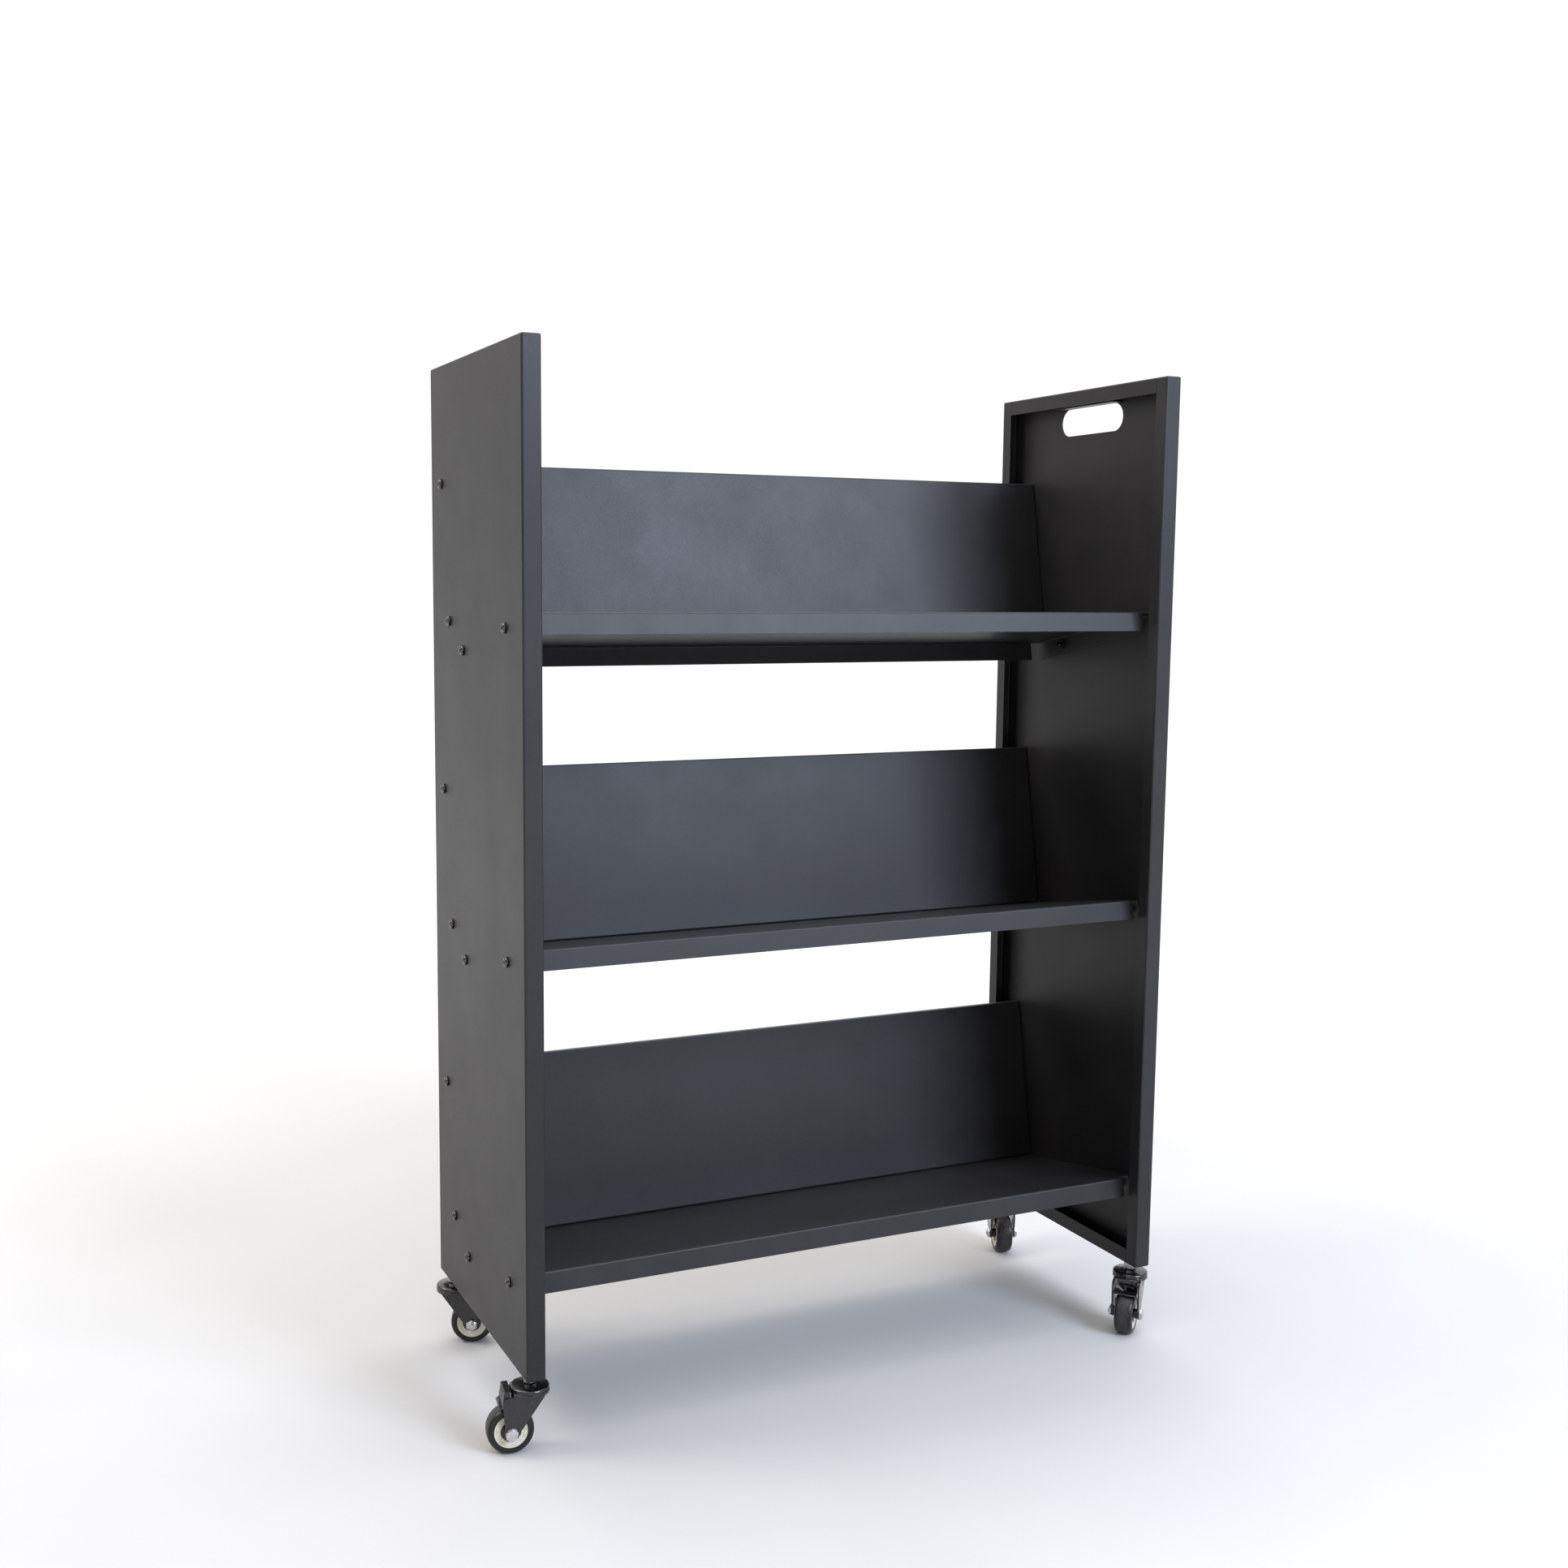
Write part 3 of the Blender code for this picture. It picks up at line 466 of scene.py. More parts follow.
def powder_coat():
    """Satin black powder coat: a fine orange peel, faint clouds, dust specks and rubbed patches."""
    surface = Surface("powder_coat", Specular_IOR_Level=0.30)
    clouds = surface.noise(7, 4, 0.6)
    grain = surface.noise(900, 2, 0.6)
    cloudy = surface.spread(clouds, 0.35, 0.65, 0, 1)
    colour = surface.blend(cloudy, (0.0115, 0.0115, 0.0125), (0.0165, 0.016, 0.017))
    speck = surface.spread(grain, 0.60, 0.78, 0, 0.55)
    surface.feed("Base Color", surface.blend(speck, colour, (0.040, 0.039, 0.040)))
    gloss = surface.spread(surface.noise(14, 4, 0.6), 0.3, 0.7, 0.42, 0.47)
    fine = surface.spread(grain, 0.3, 0.7, -0.03, 0.03)
    surface.feed("Roughness", surface.maths("ADD", gloss, fine))
    peel = surface.bump(surface.noise(420, 2, 0.5), 0.18, 0.25 * MM)
    surface.feed("Normal", surface.bump(grain, 0.22, 0.08 * MM, peel))
    return surface.material


def shelf_bolt():
    """Black-oxide steel with a burnished, finely scratched crown."""
    surface = Surface("shelf_bolt", Metallic=1.0)
    worn = surface.spread(surface.noise(420, 4, 0.65), 0.42, 0.66, 0, 1)
    surface.feed("Base Color", surface.blend(worn, (0.022, 0.022, 0.024), (0.17, 0.165, 0.16)))
    surface.feed("Roughness", surface.spread(surface.noise(1500, 3), 0.3, 0.7, 0.16, 0.30))
    surface.feed("Normal", surface.bump(surface.noise(2600, 2), 0.15, 0.05 * MM))
    return surface.material


def zinc_steel():
    """Bright zinc plate: cloudy passivation, fine brushing and darker pits."""
    surface = Surface("zinc_steel", Metallic=1.0)
    cloudy = surface.spread(surface.noise(260, 4, 0.6), 0.3, 0.7, 0, 1)
    brushed = surface.noise(1400, 3, 0.6, surface.stretched(1, 1, 0.12))
    pits = surface.spread(surface.noise(900, 4, 0.7), 0.54, 0.68, 0, 0.5)
    plate = surface.blend(cloudy, (0.46, 0.465, 0.48), (0.74, 0.74, 0.75))
    surface.feed("Base Color", surface.blend(pits, plate, (0.16, 0.155, 0.15)))
    surface.feed("Roughness", surface.spread(brushed, 0.3, 0.7, 0.18, 0.36))
    surface.feed("Normal", surface.bump(brushed, 0.3, 0.06 * MM))
    return surface.material


def black_fork():
    """Gloss black dipped paint over pressed steel, with soft runs and a little dust."""
    surface = Surface("black_fork", Specular_IOR_Level=0.5, Coat_Weight=0.5, Coat_Roughness=0.06)
    dust = surface.noise(160, 5, 0.65)
    dusty = surface.spread(dust, 0.55, 0.8, 0, 0.4)
    surface.feed("Base Color", surface.blend(dusty, (0.0035, 0.0035, 0.004), (0.030, 0.029, 0.028)))
    surface.feed("Roughness", surface.spread(dust, 0.3, 0.75, 0.18, 0.36))
    runs = surface.bump(surface.noise(190, 2, 0.4), 0.4, 0.6 * MM)
    surface.feed("Normal", surface.bump(surface.noise(900, 2), 0.08, 0.1 * MM, runs))
    return surface.material


def tyre_rubber():
    """Hard black tyre: polished walls, a dusty tread with fine lengthwise scuffs."""
    surface = Surface("tyre_rubber", Specular_IOR_Level=0.4)
    across = surface.maths("ABSOLUTE", surface.axis("Z"), 0.0)
    tread = surface.spread(across, 4.5 * MM, 8.5 * MM, 1, 0)
    scuffs = surface.noise(300, 5, 0.65, surface.stretched(0.4, 0.4, 3.5))
    dust = surface.maths("MULTIPLY", tread, surface.spread(scuffs, 0.38, 0.68, 0.05, 0.8))
    surface.feed("Base Color", surface.blend(dust, (0.006, 0.006, 0.0065), (0.058, 0.055, 0.048)))
    polish = surface.spread(dust, 0, 0.6, 0.28, 0.5)
    fine = surface.spread(scuffs, 0.3, 0.7, 0, 0.08)
    surface.feed("Roughness", surface.maths("ADD", polish, fine))
    surface.feed("Normal", surface.bump(scuffs, 0.25, 0.12 * MM))
    return surface.material


def hub_plastic():
    """Cream moulded nylon with a faint, greyer mottle."""
    surface = Surface("hub_plastic", Subsurface_Weight=0.08, Subsurface_Scale=2 * MM)
    mottle = surface.noise(190, 4, 0.6)
    mottled = surface.spread(mottle, 0.35, 0.7, 0, 1)
    surface.feed("Base Color", surface.blend(mottled, (0.66, 0.64, 0.53), (0.48, 0.46, 0.38)))
    surface.feed("Roughness", surface.spread(mottle, 0.3, 0.7, 0.34, 0.5))
    surface.feed("Normal", surface.bump(surface.noise(1300, 2), 0.12, 0.08 * MM))
    return surface.material


def floor_paint():
    """A plain floor with a hardly visible unevenness: painted darker grey around the cart as painted
    shade, and paler towards its far edge, so that it fades into the bright backdrop.
    """
    surface = Surface("pale_floor", Specular_IOR_Level=0.2)
    where = surface.node("ShaderNodeNewGeometry", {}).outputs["Position"]
    mottle = surface.noise(3, 3, 0.5, where)
    distance = surface.node("ShaderNodeVectorMath", {0: where}, operation="LENGTH").outputs["Value"]
    # Painted shade: grey within a metre of the cart, paling to near white four metres out.
    near = surface.blend(mottle, (0.44, 0.44, 0.44), (0.48, 0.48, 0.48))
    pale = surface.spread(distance, 1.0, 4.0, 0, 1)
    surface.feed("Base Color", surface.blend(pale, near, (0.88, 0.88, 0.88)))
    surface.feed("Roughness", surface.spread(mottle, 0.3, 0.7, 0.7, 0.8))
    return surface.material


# ---------------------------------------------------------------- end panels


def panel_blank(side):
    """The outer form of a folded end panel, with its bends rounded."""
    low, high = PANEL_BOX[side]
    bm = box_of(low, high)
    round_edges(bm, BEND_RADIUS, lambda a, b: True)
    return bm


def panel_cavity(side):
    """The hollow between the skin and the return lips."""
    low, high = PANEL_BOX[side]
    wall = Vector((SHEET, SHEET, SHEET))
    bm = box_of(low + wall, high - wall)
    round_edges(bm, BEND_RADIUS - SHEET, lambda a, b: True)
    return bm


def panel_mouth(side):
    """The opening that the four return lips leave."""
    low, high = PANEL_BOX[side]
    return box_of(
        (inward(side, PANEL_THICKNESS - SHEET - CUT_MARGIN), low.y + PANEL_LIP, low.z + PANEL_LIP),
        (inward(side, PANEL_THICKNESS + CUT_MARGIN), high.y - PANEL_LIP, high.z - PANEL_LIP),
    )


def panel_seams(side):
    """The butt joints where the short return lips meet the long ones."""
    low, high = PANEL_BOX[side]
    near = inward(side, PANEL_THICKNESS - SHEET - CUT_MARGIN)
    far = inward(side, PANEL_THICKNESS + CUT_MARGIN)
    bm = bmesh.new()
    for edge, step in ((low.y + PANEL_LIP, 1), (high.y - PANEL_LIP, -1)):
        for bottom, top in (
            (low.z + BEND_RADIUS, low.z + PANEL_LIP + CUT_MARGIN),
            (high.z - PANEL_LIP - CUT_MARGIN, high.z - BEND_RADIUS),
        ):
            add_box(bm, (near, edge, bottom), (far, edge + step * SEAM_WIDTH, top))
    return bm


def panel_holes(side):
    """The bolt holes through the skin."""
    bm = bmesh.new()
    for y, z in bolt_points().values():
        start = (inward(side, -CUT_MARGIN), y, z)
        end = (inward(side, SHEET + CUT_MARGIN), y, z)
        add_cylinder(bm, start, end, BOLT_HOLE_RADIUS, HOLE_SEGMENTS)
    return bm


def stem_feet(side):
    """Where the two caster stems enter an end panel's bottom edge."""
    x = (PANEL_BOX[side][0].x + PANEL_BOX[side][1].x) / 2
    ends = (PANEL_LOW.y + STEM_INSET_Y, PANEL_HIGH.y - STEM_INSET_Y)
    return [Vector((x, y, PANEL_LOW.z)) for y in ends]


def stem_bushes(side):
    """The welded bushes inside an end panel, and the holes through them."""
    bushes, holes = bmesh.new(), bmesh.new()
    up = Vector((0, 0, 1))
    for foot in stem_feet(side):
        top = foot + up * (STEM_LENGTH + SHEET)
        add_cylinder(bushes, foot + up * SHEET / 2, top, STEM_BUSH_RADIUS)
        add_cylinder(holes, foot - up * CUT_MARGIN, top + up * CUT_MARGIN, STEM_RADIUS + GAP)
    return bushes, holes


def slot_cutter(side):
    """The round-ended handle slot."""
    radius = SLOT_WIDTH / 2
    reach = SLOT_LENGTH / 2 - radius
    outline = arc((reach, 0), radius, -90, 90, 24) + arc((-reach, 0), radius, 90, 270, 24)
    bm = prism(outline, SHEET / 2 + CUT_MARGIN)
    middle = (inward(side, SHEET / 2), MIDDLE_Y, PANEL_HIGH.z - SLOT_TOP - radius)
    turn = Matrix.Rotation(math.radians(90), 4, "Z")
    bmesh.ops.transform(bm, matrix=Matrix.Translation(middle) @ turn, verts=bm.verts)
    return bm


def grip_flap(side):
    """The flap folded inwards along the slot's top edge, with a rounded free edge."""
    bottom = PANEL_HIGH.z - SLOT_TOP
    free_edge = inward(side, GRIP_FLAP_DEPTH)
    bm = box_of(
        (inward(side, SHEET / 2), MIDDLE_Y - GRIP_FLAP_LENGTH / 2, bottom - 0.1 * MM),
        (free_edge, MIDDLE_Y + GRIP_FLAP_LENGTH / 2, bottom + SHEET),
    )
    middle = (inward(side, 0) + free_edge) / 2
    reach = side * middle
    round_edges(bm, SHEET * 0.4, lambda a, b: max(side * a.x, side * b.x) < reach and a.z == b.z)
    return bm


def make_end_panel(name, side, material):
    """A folded pan with four return lips. The right one also has the handle slot."""
    bushes, stem_holes = stem_bushes(side)
    steps = [
        (panel_cavity(side), "DIFFERENCE"),
        (panel_mouth(side), "DIFFERENCE"),
        (panel_seams(side), "DIFFERENCE"),
        (panel_holes(side), "DIFFERENCE"),
        (bushes, "UNION"),
        (stem_holes, "DIFFERENCE"),
    ]
    if side > 0:
        steps += [(slot_cutter(side), "DIFFERENCE"), (grip_flap(side), "UNION")]
    mesh = carved(name, panel_blank(side), steps)
    show(f"{name}_sheet", mesh, material, "frame", [name])


# ---------------------------------------------------------------- trays and back plates


def shelf_reach(node):
    """Half the length of a tray or back plate."""
    low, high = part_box(node)
    return (high.x - low.x) / 2


def bolt_row(points, inner, outer, radius, segments):
    """Cylinders along X at both ends of a shelf piece, between two distances from its middle."""
    bm = bmesh.new()
    for run, rise in points:
        for side in (-1, 1):
            add_cylinder(bm, (side * inner, run, rise), (side * outer, run, rise), radius, segments)
    return bm


def weld_nut_steps(reach, points):
    """The nuts welded behind both end flanges, and the holes through nut and flange."""
    flange = reach - SHEET
    inner = flange - WELD_NUT_HEIGHT
    nuts = bolt_row(points, inner, flange + SHEET / 2, WELD_NUT_RADIUS, HEX_SIDES)
    ends = (inner - CUT_MARGIN, reach + CUT_MARGIN)
    holes = bolt_row(points, *ends, BOLT_HOLE_RADIUS, HOLE_SEGMENTS)
    return [(nuts, "UNION"), (holes, "DIFFERENCE")]


def tray_notches(reach):
    """The corners cut back so that the front lip clears the panel lips and the rear flange ends short."""
    bm = bmesh.new()
    low, high = -TRAY_FLANGE - CUT_MARGIN, CUT_MARGIN
    front_width, front_run = TRAY_FRONT_NOTCH
    rear_width, rear_run = TRAY_REAR_NOTCH
    for side in (-1, 1):
        end = side * (reach + CUT_MARGIN)
        add_box(bm, (side * (reach - front_width), -CUT_MARGIN, low), (end, front_run, high))
        rear = (side * (reach - rear_width), TRAY_RUN - rear_run, low)
        add_box(bm, rear, (end, TRAY_RUN + CUT_MARGIN, high))
    return bm


def make_tray(shelf, material):
    """A tray pressed as one sheet: a plate with flanges folded down on all four sides."""
    node = f"{shelf}_tray"
    reach = shelf_reach(node)
    blank = box_of((-reach, 0, -TRAY_FLANGE), (reach, TRAY_RUN, 0))
    round_edges(blank, BEND_RADIUS, lambda a, b: min(a.z, b.z) > -MM)
    hollow = box_of(
        (-reach + SHEET, SHEET, -TRAY_FLANGE - CUT_MARGIN),
        (reach - SHEET, TRAY_RUN - SHEET, -SHEET),
    )
    round_edges(hollow, BEND_RADIUS - SHEET, lambda a, b: min(a.z, b.z) > -2 * SHEET)
    steps = [(hollow, "DIFFERENCE"), (tray_notches(reach), "DIFFERENCE")]
    steps += weld_nut_steps(reach, TRAY_BOLTS.values())
    matrix = shelf_matrix(SHELF_HEIGHTS[shelf])
    show(f"{node}_sheet", carved(node, blank, steps), material, "frame", [node], matrix)


def make_back_plate(shelf, material):
    """A back plate that stands on the tray, with flanges folded backwards on all four sides."""
    node = f"{shelf}_back_plate"
    reach = shelf_reach(node)
    front, rear = BACK_RUN, BACK_RUN + BACK_FLANGE
    blank = box_of((-reach, front, GAP), (reach, rear, BACK_RISE))
    round_edges(blank, BEND_RADIUS, lambda a, b: max(a.y, b.y) < front + MM)
    hollow = box_of(
        (-reach + SHEET, front + SHEET, GAP + SHEET),
        (reach - SHEET, rear + CUT_MARGIN, BACK_RISE - SHEET),
    )
    round_edges(hollow, BEND_RADIUS - SHEET, lambda a, b: max(a.y, b.y) < front + 2 * SHEET)
    steps = [(hollow, "DIFFERENCE"), *weld_nut_steps(reach, BACK_BOLTS.values())]
    matrix = shelf_matrix(SHELF_HEIGHTS[shelf])
    show(f"{node}_sheet", carved(node, blank, steps), material, "frame", [node], matrix)


# ---------------------------------------------------------------- shelf bolts


def bolt_mesh():
    """A pan-head bolt with a hexagonal socket: its head is above the origin and its shank runs down -Z."""
    rounding, chamfer = 2.4 * MM, 0.8 * MM
    crown_centre = (BOLT_HEAD_RADIUS - rounding, BOLT_HEAD_HEIGHT - rounding)
    profile = [
        (0, BOLT_HEAD_HEIGHT),
        (BOLT_SOCKET_RADIUS * 1.25, BOLT_HEAD_HEIGHT),
        *arc(crown_centre, rounding, 90, 0, 8),
        (BOLT_HEAD_RADIUS, 0),
        (BOLT_RADIUS, 0),
        (BOLT_RADIUS, chamfer - BOLT_LENGTH),
        (BOLT_RADIUS - chamfer, -BOLT_LENGTH),
        (0, -BOLT_LENGTH),
    ]
    floor, mouth = (0, 0, BOLT_HEAD_HEIGHT * 0.35), (0, 0, BOLT_HEAD_HEIGHT + MM)
    socket = cylinder_of(floor, mouth, BOLT_SOCKET_RADIUS * 1.1, HEX_SIDES)
    return carved("shelf_bolt", lathe(profile), [(socket, "DIFFERENCE")])


def make_shelf_bolts(material):
    """One bolt in every hole of both end panels, with its head outside."""
    mesh = bolt_mesh()
    for side, side_name in ((-1, "left"), (1, "right")):
        for label, (y, z) in bolt_points().items():
            node = f"bolt_{side_name}_{label}"
            place = Matrix.Translation((outer_face(side) + side * GAP, y, z))
            matrix = place @ Matrix.Rotation(side * math.radians(90), 4, "Y")
            show(f"{node}_pan_head", mesh.copy(), material, "frame", [node], matrix)


# ---------------------------------------------------------------- casters


def fork_outline():
    """Side view of the fork legs, from the rear top corner round to the axle and back."""
    axle = (TRAIL, -AXLE_DROP)
    rear = (-FORK_REAR, -FORK_HEAD_BOTTOM)
    # The slanted rear edge is the tangent from the rear corner to the round leg end.
    slope = math.atan2(axle[1] - rear[1], axle[0] - rear[0])
    tangent = slope - math.asin(LEG_END_RADIUS / math.dist(rear, axle))
    return [
        (-FORK_REAR, -FORK_PLATE_TOP),
        rear,
        *arc(axle, LEG_END_RADIUS, math.degrees(tangent) - 90, 0, 16),
        (FORK_FRONT + 0.5 * MM, -FORK_HEAD_BOTTOM - 5 * MM),
        (FORK_FRONT - 2 * MM, -FORK_HEAD_BOTTOM + MM),
        (FORK_PLATE_FRONT, -FORK_HEAD_BOTTOM + 2 * MM),
        (FORK_PLATE_FRONT, -FORK_PLATE_TOP),
    ]


def fork_head():
    """The domed head: a flat crown, a rolled shoulder, and a seam above its lower rim."""
    top, bottom = -FORK_HEAD_TOP, -FORK_HEAD_BOTTOM
    bore, rim = KINGPIN_RADIUS + GAP, FORK_HEAD_RADIUS
    shoulder, chamfer = 2.6 * MM, 0.8 * MM
    seam_top, seam_depth = top - 5.4 * MM, 0.7 * MM
    return lathe(
        [
            (bore, top),
            (rim * 0.42, top),
            (rim * 0.50, top - 0.5 * MM),
            (rim * 0.62, top - 0.9 * MM),
            (rim * 0.80, top - 1.3 * MM),
            *arc((rim - shoulder, top - 1.8 * MM - shoulder), shoulder, 75, 0, 6),
            (rim, seam_top),
            (rim - seam_depth, seam_top - 0.5 * MM),
            (rim - seam_depth, seam_top - 1.1 * MM),
            (rim, seam_top - 1.6 * MM),
            (rim, bottom + chamfer),
            (rim - chamfer, bottom),
            (bore, bottom),
        ],
        64,
    )


def leg_bosses():
    """Oval embossings near the top of both legs."""
    bm = bmesh.new()
    for side in (-1, 1):
        place = Matrix.Translation((3 * MM, side * FORK_OUTER_HALF, -FORK_HEAD_BOTTOM - 6 * MM))
        shape = Matrix.Diagonal((4.2 * MM, 0.6 * MM, 2.4 * MM, 1))
        tilt = Matrix.Rotation(math.radians(45), 4, "Y")
        bmesh.ops.create_uvsphere(
            bm, u_segments=24, v_segments=12, radius=1, matrix=place @ tilt @ shape
        )
    return bm


def make_fork(corner, has_brake, material):
    """The pressed fork: a domed head on a plate whose two legs carry the axle."""
    plate = -FORK_PLATE_TOP - GAP
    legs = prism(fork_outline(), FORK_OUTER_HALF)
    round_edges(legs, BEND_RADIUS, lambda a, b: min(a.z, b.z) > plate and a.y == b.y)
    beyond = FORK_OUTER_HALF + CUT_MARGIN
    past_front = FORK_FRONT + 2 * CUT_MARGIN
    opening = box_of(
        (-FORK_REAR - CUT_MARGIN, -FORK_INNER_HALF, -AXLE_DROP - 2 * LEG_END_RADIUS),
        (past_front, FORK_INNER_HALF, -FORK_HEAD_BOTTOM),
    )
    mouth = box_of(
        (FORK_PLATE_FRONT, -FORK_INNER_HALF, -FORK_HEAD_BOTTOM - MM),
        (past_front, FORK_INNER_HALF, -FORK_PLATE_TOP + CUT_MARGIN),
    )
    ends = ((TRAIL, -beyond, -AXLE_DROP), (TRAIL, beyond, -AXLE_DROP))
    bore_ends = ((0, 0, MM - FORK_HEAD_TOP), (0, 0, -MM - FORK_HEAD_BOTTOM))
    steps = [
        (fork_head(), "UNION"),
        (leg_bosses(), "UNION"),
        (opening, "DIFFERENCE"),
        (mouth, "DIFFERENCE"),
        (cylinder_of(*ends, AXLE_HOLE_RADIUS), "DIFFERENCE"),
        (cylinder_of(*bore_ends, KINGPIN_RADIUS + GAP), "DIFFERENCE"),
    ]
    if has_brake:
        x, z = PEDAL_PIVOT
        pin = cylinder_of((x, -beyond, z), (x, beyond, z), PEDAL_HOLE_RADIUS)
        steps.append((pin, "DIFFERENCE"))
    node = f"caster_{corner}_fork"
    mesh = carved(node, legs, steps, bevel=LEG_EDGE_ROUNDING)
    matrix = swivel_matrix(corner)
    show(f"{node}_pressed", mesh, material, f"{corner}_swivel", [node], matrix)


def hexagon(start, end, radius):
    """A hexagonal prism from start to end along Z, and the step that chamfers its corners."""
    low, high = min(start, end), max(start, end)
    chamfer = radius * 0.12
    barrel = lathe(
        [
            (0, high),
            (radius - 1.7 * chamfer, high),
            (radius, high - chamfer),
            (radius, low + chamfer),
            (radius - 1.7 * chamfer, low),
            (0, low),
        ]
    )
    prism_of_six = cylinder_of((0, 0, low), (0, 0, high), radius, HEX_SIDES)
    return prism_of_six, (barrel, "INTERSECT")


def make_stem(corner, material):
    """The threaded stem with its hexagon, and the riveted kingpin below it that holds the fork."""
    head_top = -FORK_HEAD_BOTTOM - GAP
    blank, chamfers = hexagon(-GAP, -STEM_HEX_HEIGHT, STEM_HEX_RADIUS)
    depth, half_pitch, start = 0.5 * MM, 0.75 * MM, STEM_LENGTH - MM
    thread = [(STEM_RADIUS - i % 2 * depth, start - i * half_pitch) for i in range(17)]
    profile = [
        (0, STEM_LENGTH),
        (STEM_RADIUS - MM, STEM_LENGTH),
        *thread,
        (STEM_RADIUS, -STEM_HEX_HEIGHT / 2),
        (KINGPIN_RADIUS, -STEM_HEX_HEIGHT / 2 - 0.1 * MM),
        (KINGPIN_RADIUS, head_top),
        (KINGPIN_HEAD_RADIUS, head_top),
        (KINGPIN_HEAD_RADIUS, head_top - MM),
        (KINGPIN_HEAD_RADIUS * 0.8, head_top - 1.9 * MM),
        (KINGPIN_HEAD_RADIUS * 0.5, head_top - 2.2 * MM),
        (0, head_top - 2.2 * MM),
    ]
    node = f"caster_{corner}_stem"
    mesh = carved(node, blank, [chamfers, (lathe(profile), "UNION")])
    show(f"{node}_turned", mesh, material, "frame", [node], swivel_matrix(corner))


def tyre_profile():
    """Half of a tyre's section: from the rim out along the wall, over the shoulder to the tread."""
    half, outer, inner = TYRE_HALF_WIDTH, WHEEL_RADIUS, TYRE_INNER_RADIUS
    crown = 0.5 * MM
    shoulder = 3.8 * MM
    return [
        (inner, half - 1.2 * MM),
        (inner + 0.5 * MM, half - 0.5 * MM),
        (inner + 1.5 * MM, half - 0.1 * MM),
        (inner + 2.4 * MM, half),
        (inner + 2.9 * MM, half - 0.25 * MM),
        *arc((outer - crown - shoulder, half - 0.5 * MM - shoulder), shoulder, 80, 10, 8),
        (outer - crown * 0.3, half * 0.45),
        (outer - 0.02 * MM, half * 0.15),
        (outer, 0.4 * MM),
    ]


def hub_profile():
    """Half of the cream hub's section: the core, a dished face with two ridges, and the rim."""
    rim, ring = TYRE_INNER_RADIUS - GAP, TYRE_HALF_WIDTH - 0.9 * MM
    core = HUB_CORE_RADIUS
    return [
        (core, 4 * MM),
        (core, ring - 1.2 * MM),
        (core + 0.4 * MM, ring - 0.6 * MM),
        (core + 1.2 * MM, ring - 0.6 * MM),
        (core + 1.6 * MM, ring - 1.1 * MM),
        (core + 3.6 * MM, ring - 0.9 * MM),
        (core + 4.0 * MM, ring - 0.3 * MM),
        (core + 4.7 * MM, ring - 0.3 * MM),
        (core + 5.1 * MM, ring - 0.9 * MM),
        (rim - 0.9 * MM, ring - 0.7 * MM),
        (rim - 0.5 * MM, ring),
        (rim, ring),
    ]


def both_sides(half):
    """A closed section from its half, which ends at the middle or runs from the middle outwards."""
    return half + [(radius, -height) for radius, height in reversed(half)]


def bearing_profile():
    """Half of the black bearing and its seal, inside the hub's core."""
    return [
        (AXLE_HOLE_RADIUS, HUB_BOSS_HALF),
        (HUB_BOSS_RADIUS - 0.5 * MM, HUB_BOSS_HALF),
        (HUB_BOSS_RADIUS, HUB_BOSS_HALF - 0.5 * MM),
        (HUB_BOSS_RADIUS, 9.4 * MM),
        (HUB_BOSS_RADIUS + 1.2 * MM, 9.1 * MM),
        (HUB_BOSS_RADIUS + 1.6 * MM, 8.3 * MM),
        (HUB_CORE_RADIUS - 2.2 * MM, 8.3 * MM),
        (HUB_CORE_RADIUS - 1.7 * MM, 8.9 * MM),
        (HUB_CORE_RADIUS - 0.3 * MM, 8.9 * MM),
        (HUB_CORE_RADIUS - 0.1 * MM, 8.5 * MM),
        (HUB_CORE_RADIUS - 0.1 * MM, 0.5 * MM),
    ]


def make_wheel(corner, materials):
    """Tyre, cream hub and the bearing in its core, all turned about the axle."""
    body, matrix = f"{corner}_wheel", wheel_matrix(corner)
    tyre, hub = f"caster_{corner}_tyre", f"caster_{corner}_hub"
    tyre_mesh = carved(tyre, lathe(both_sides(tyre_profile()), WHEEL_SEGMENTS))
    show(f"{tyre}_moulded", tyre_mesh, materials["tyre_rubber"], body, [tyre], matrix)
    hub_mesh = carved(hub, lathe(both_sides(hub_profile()), WHEEL_SEGMENTS))
    show(f"{hub}_moulded", hub_mesh, materials["hub_plastic"], body, [hub], matrix)
    core = carved(f"{hub}_bearing", lathe(both_sides(bearing_profile()), WHEEL_SEGMENTS))
    show(f"{hub}_bearing", core, materials["black_fork"], body, (), matrix)


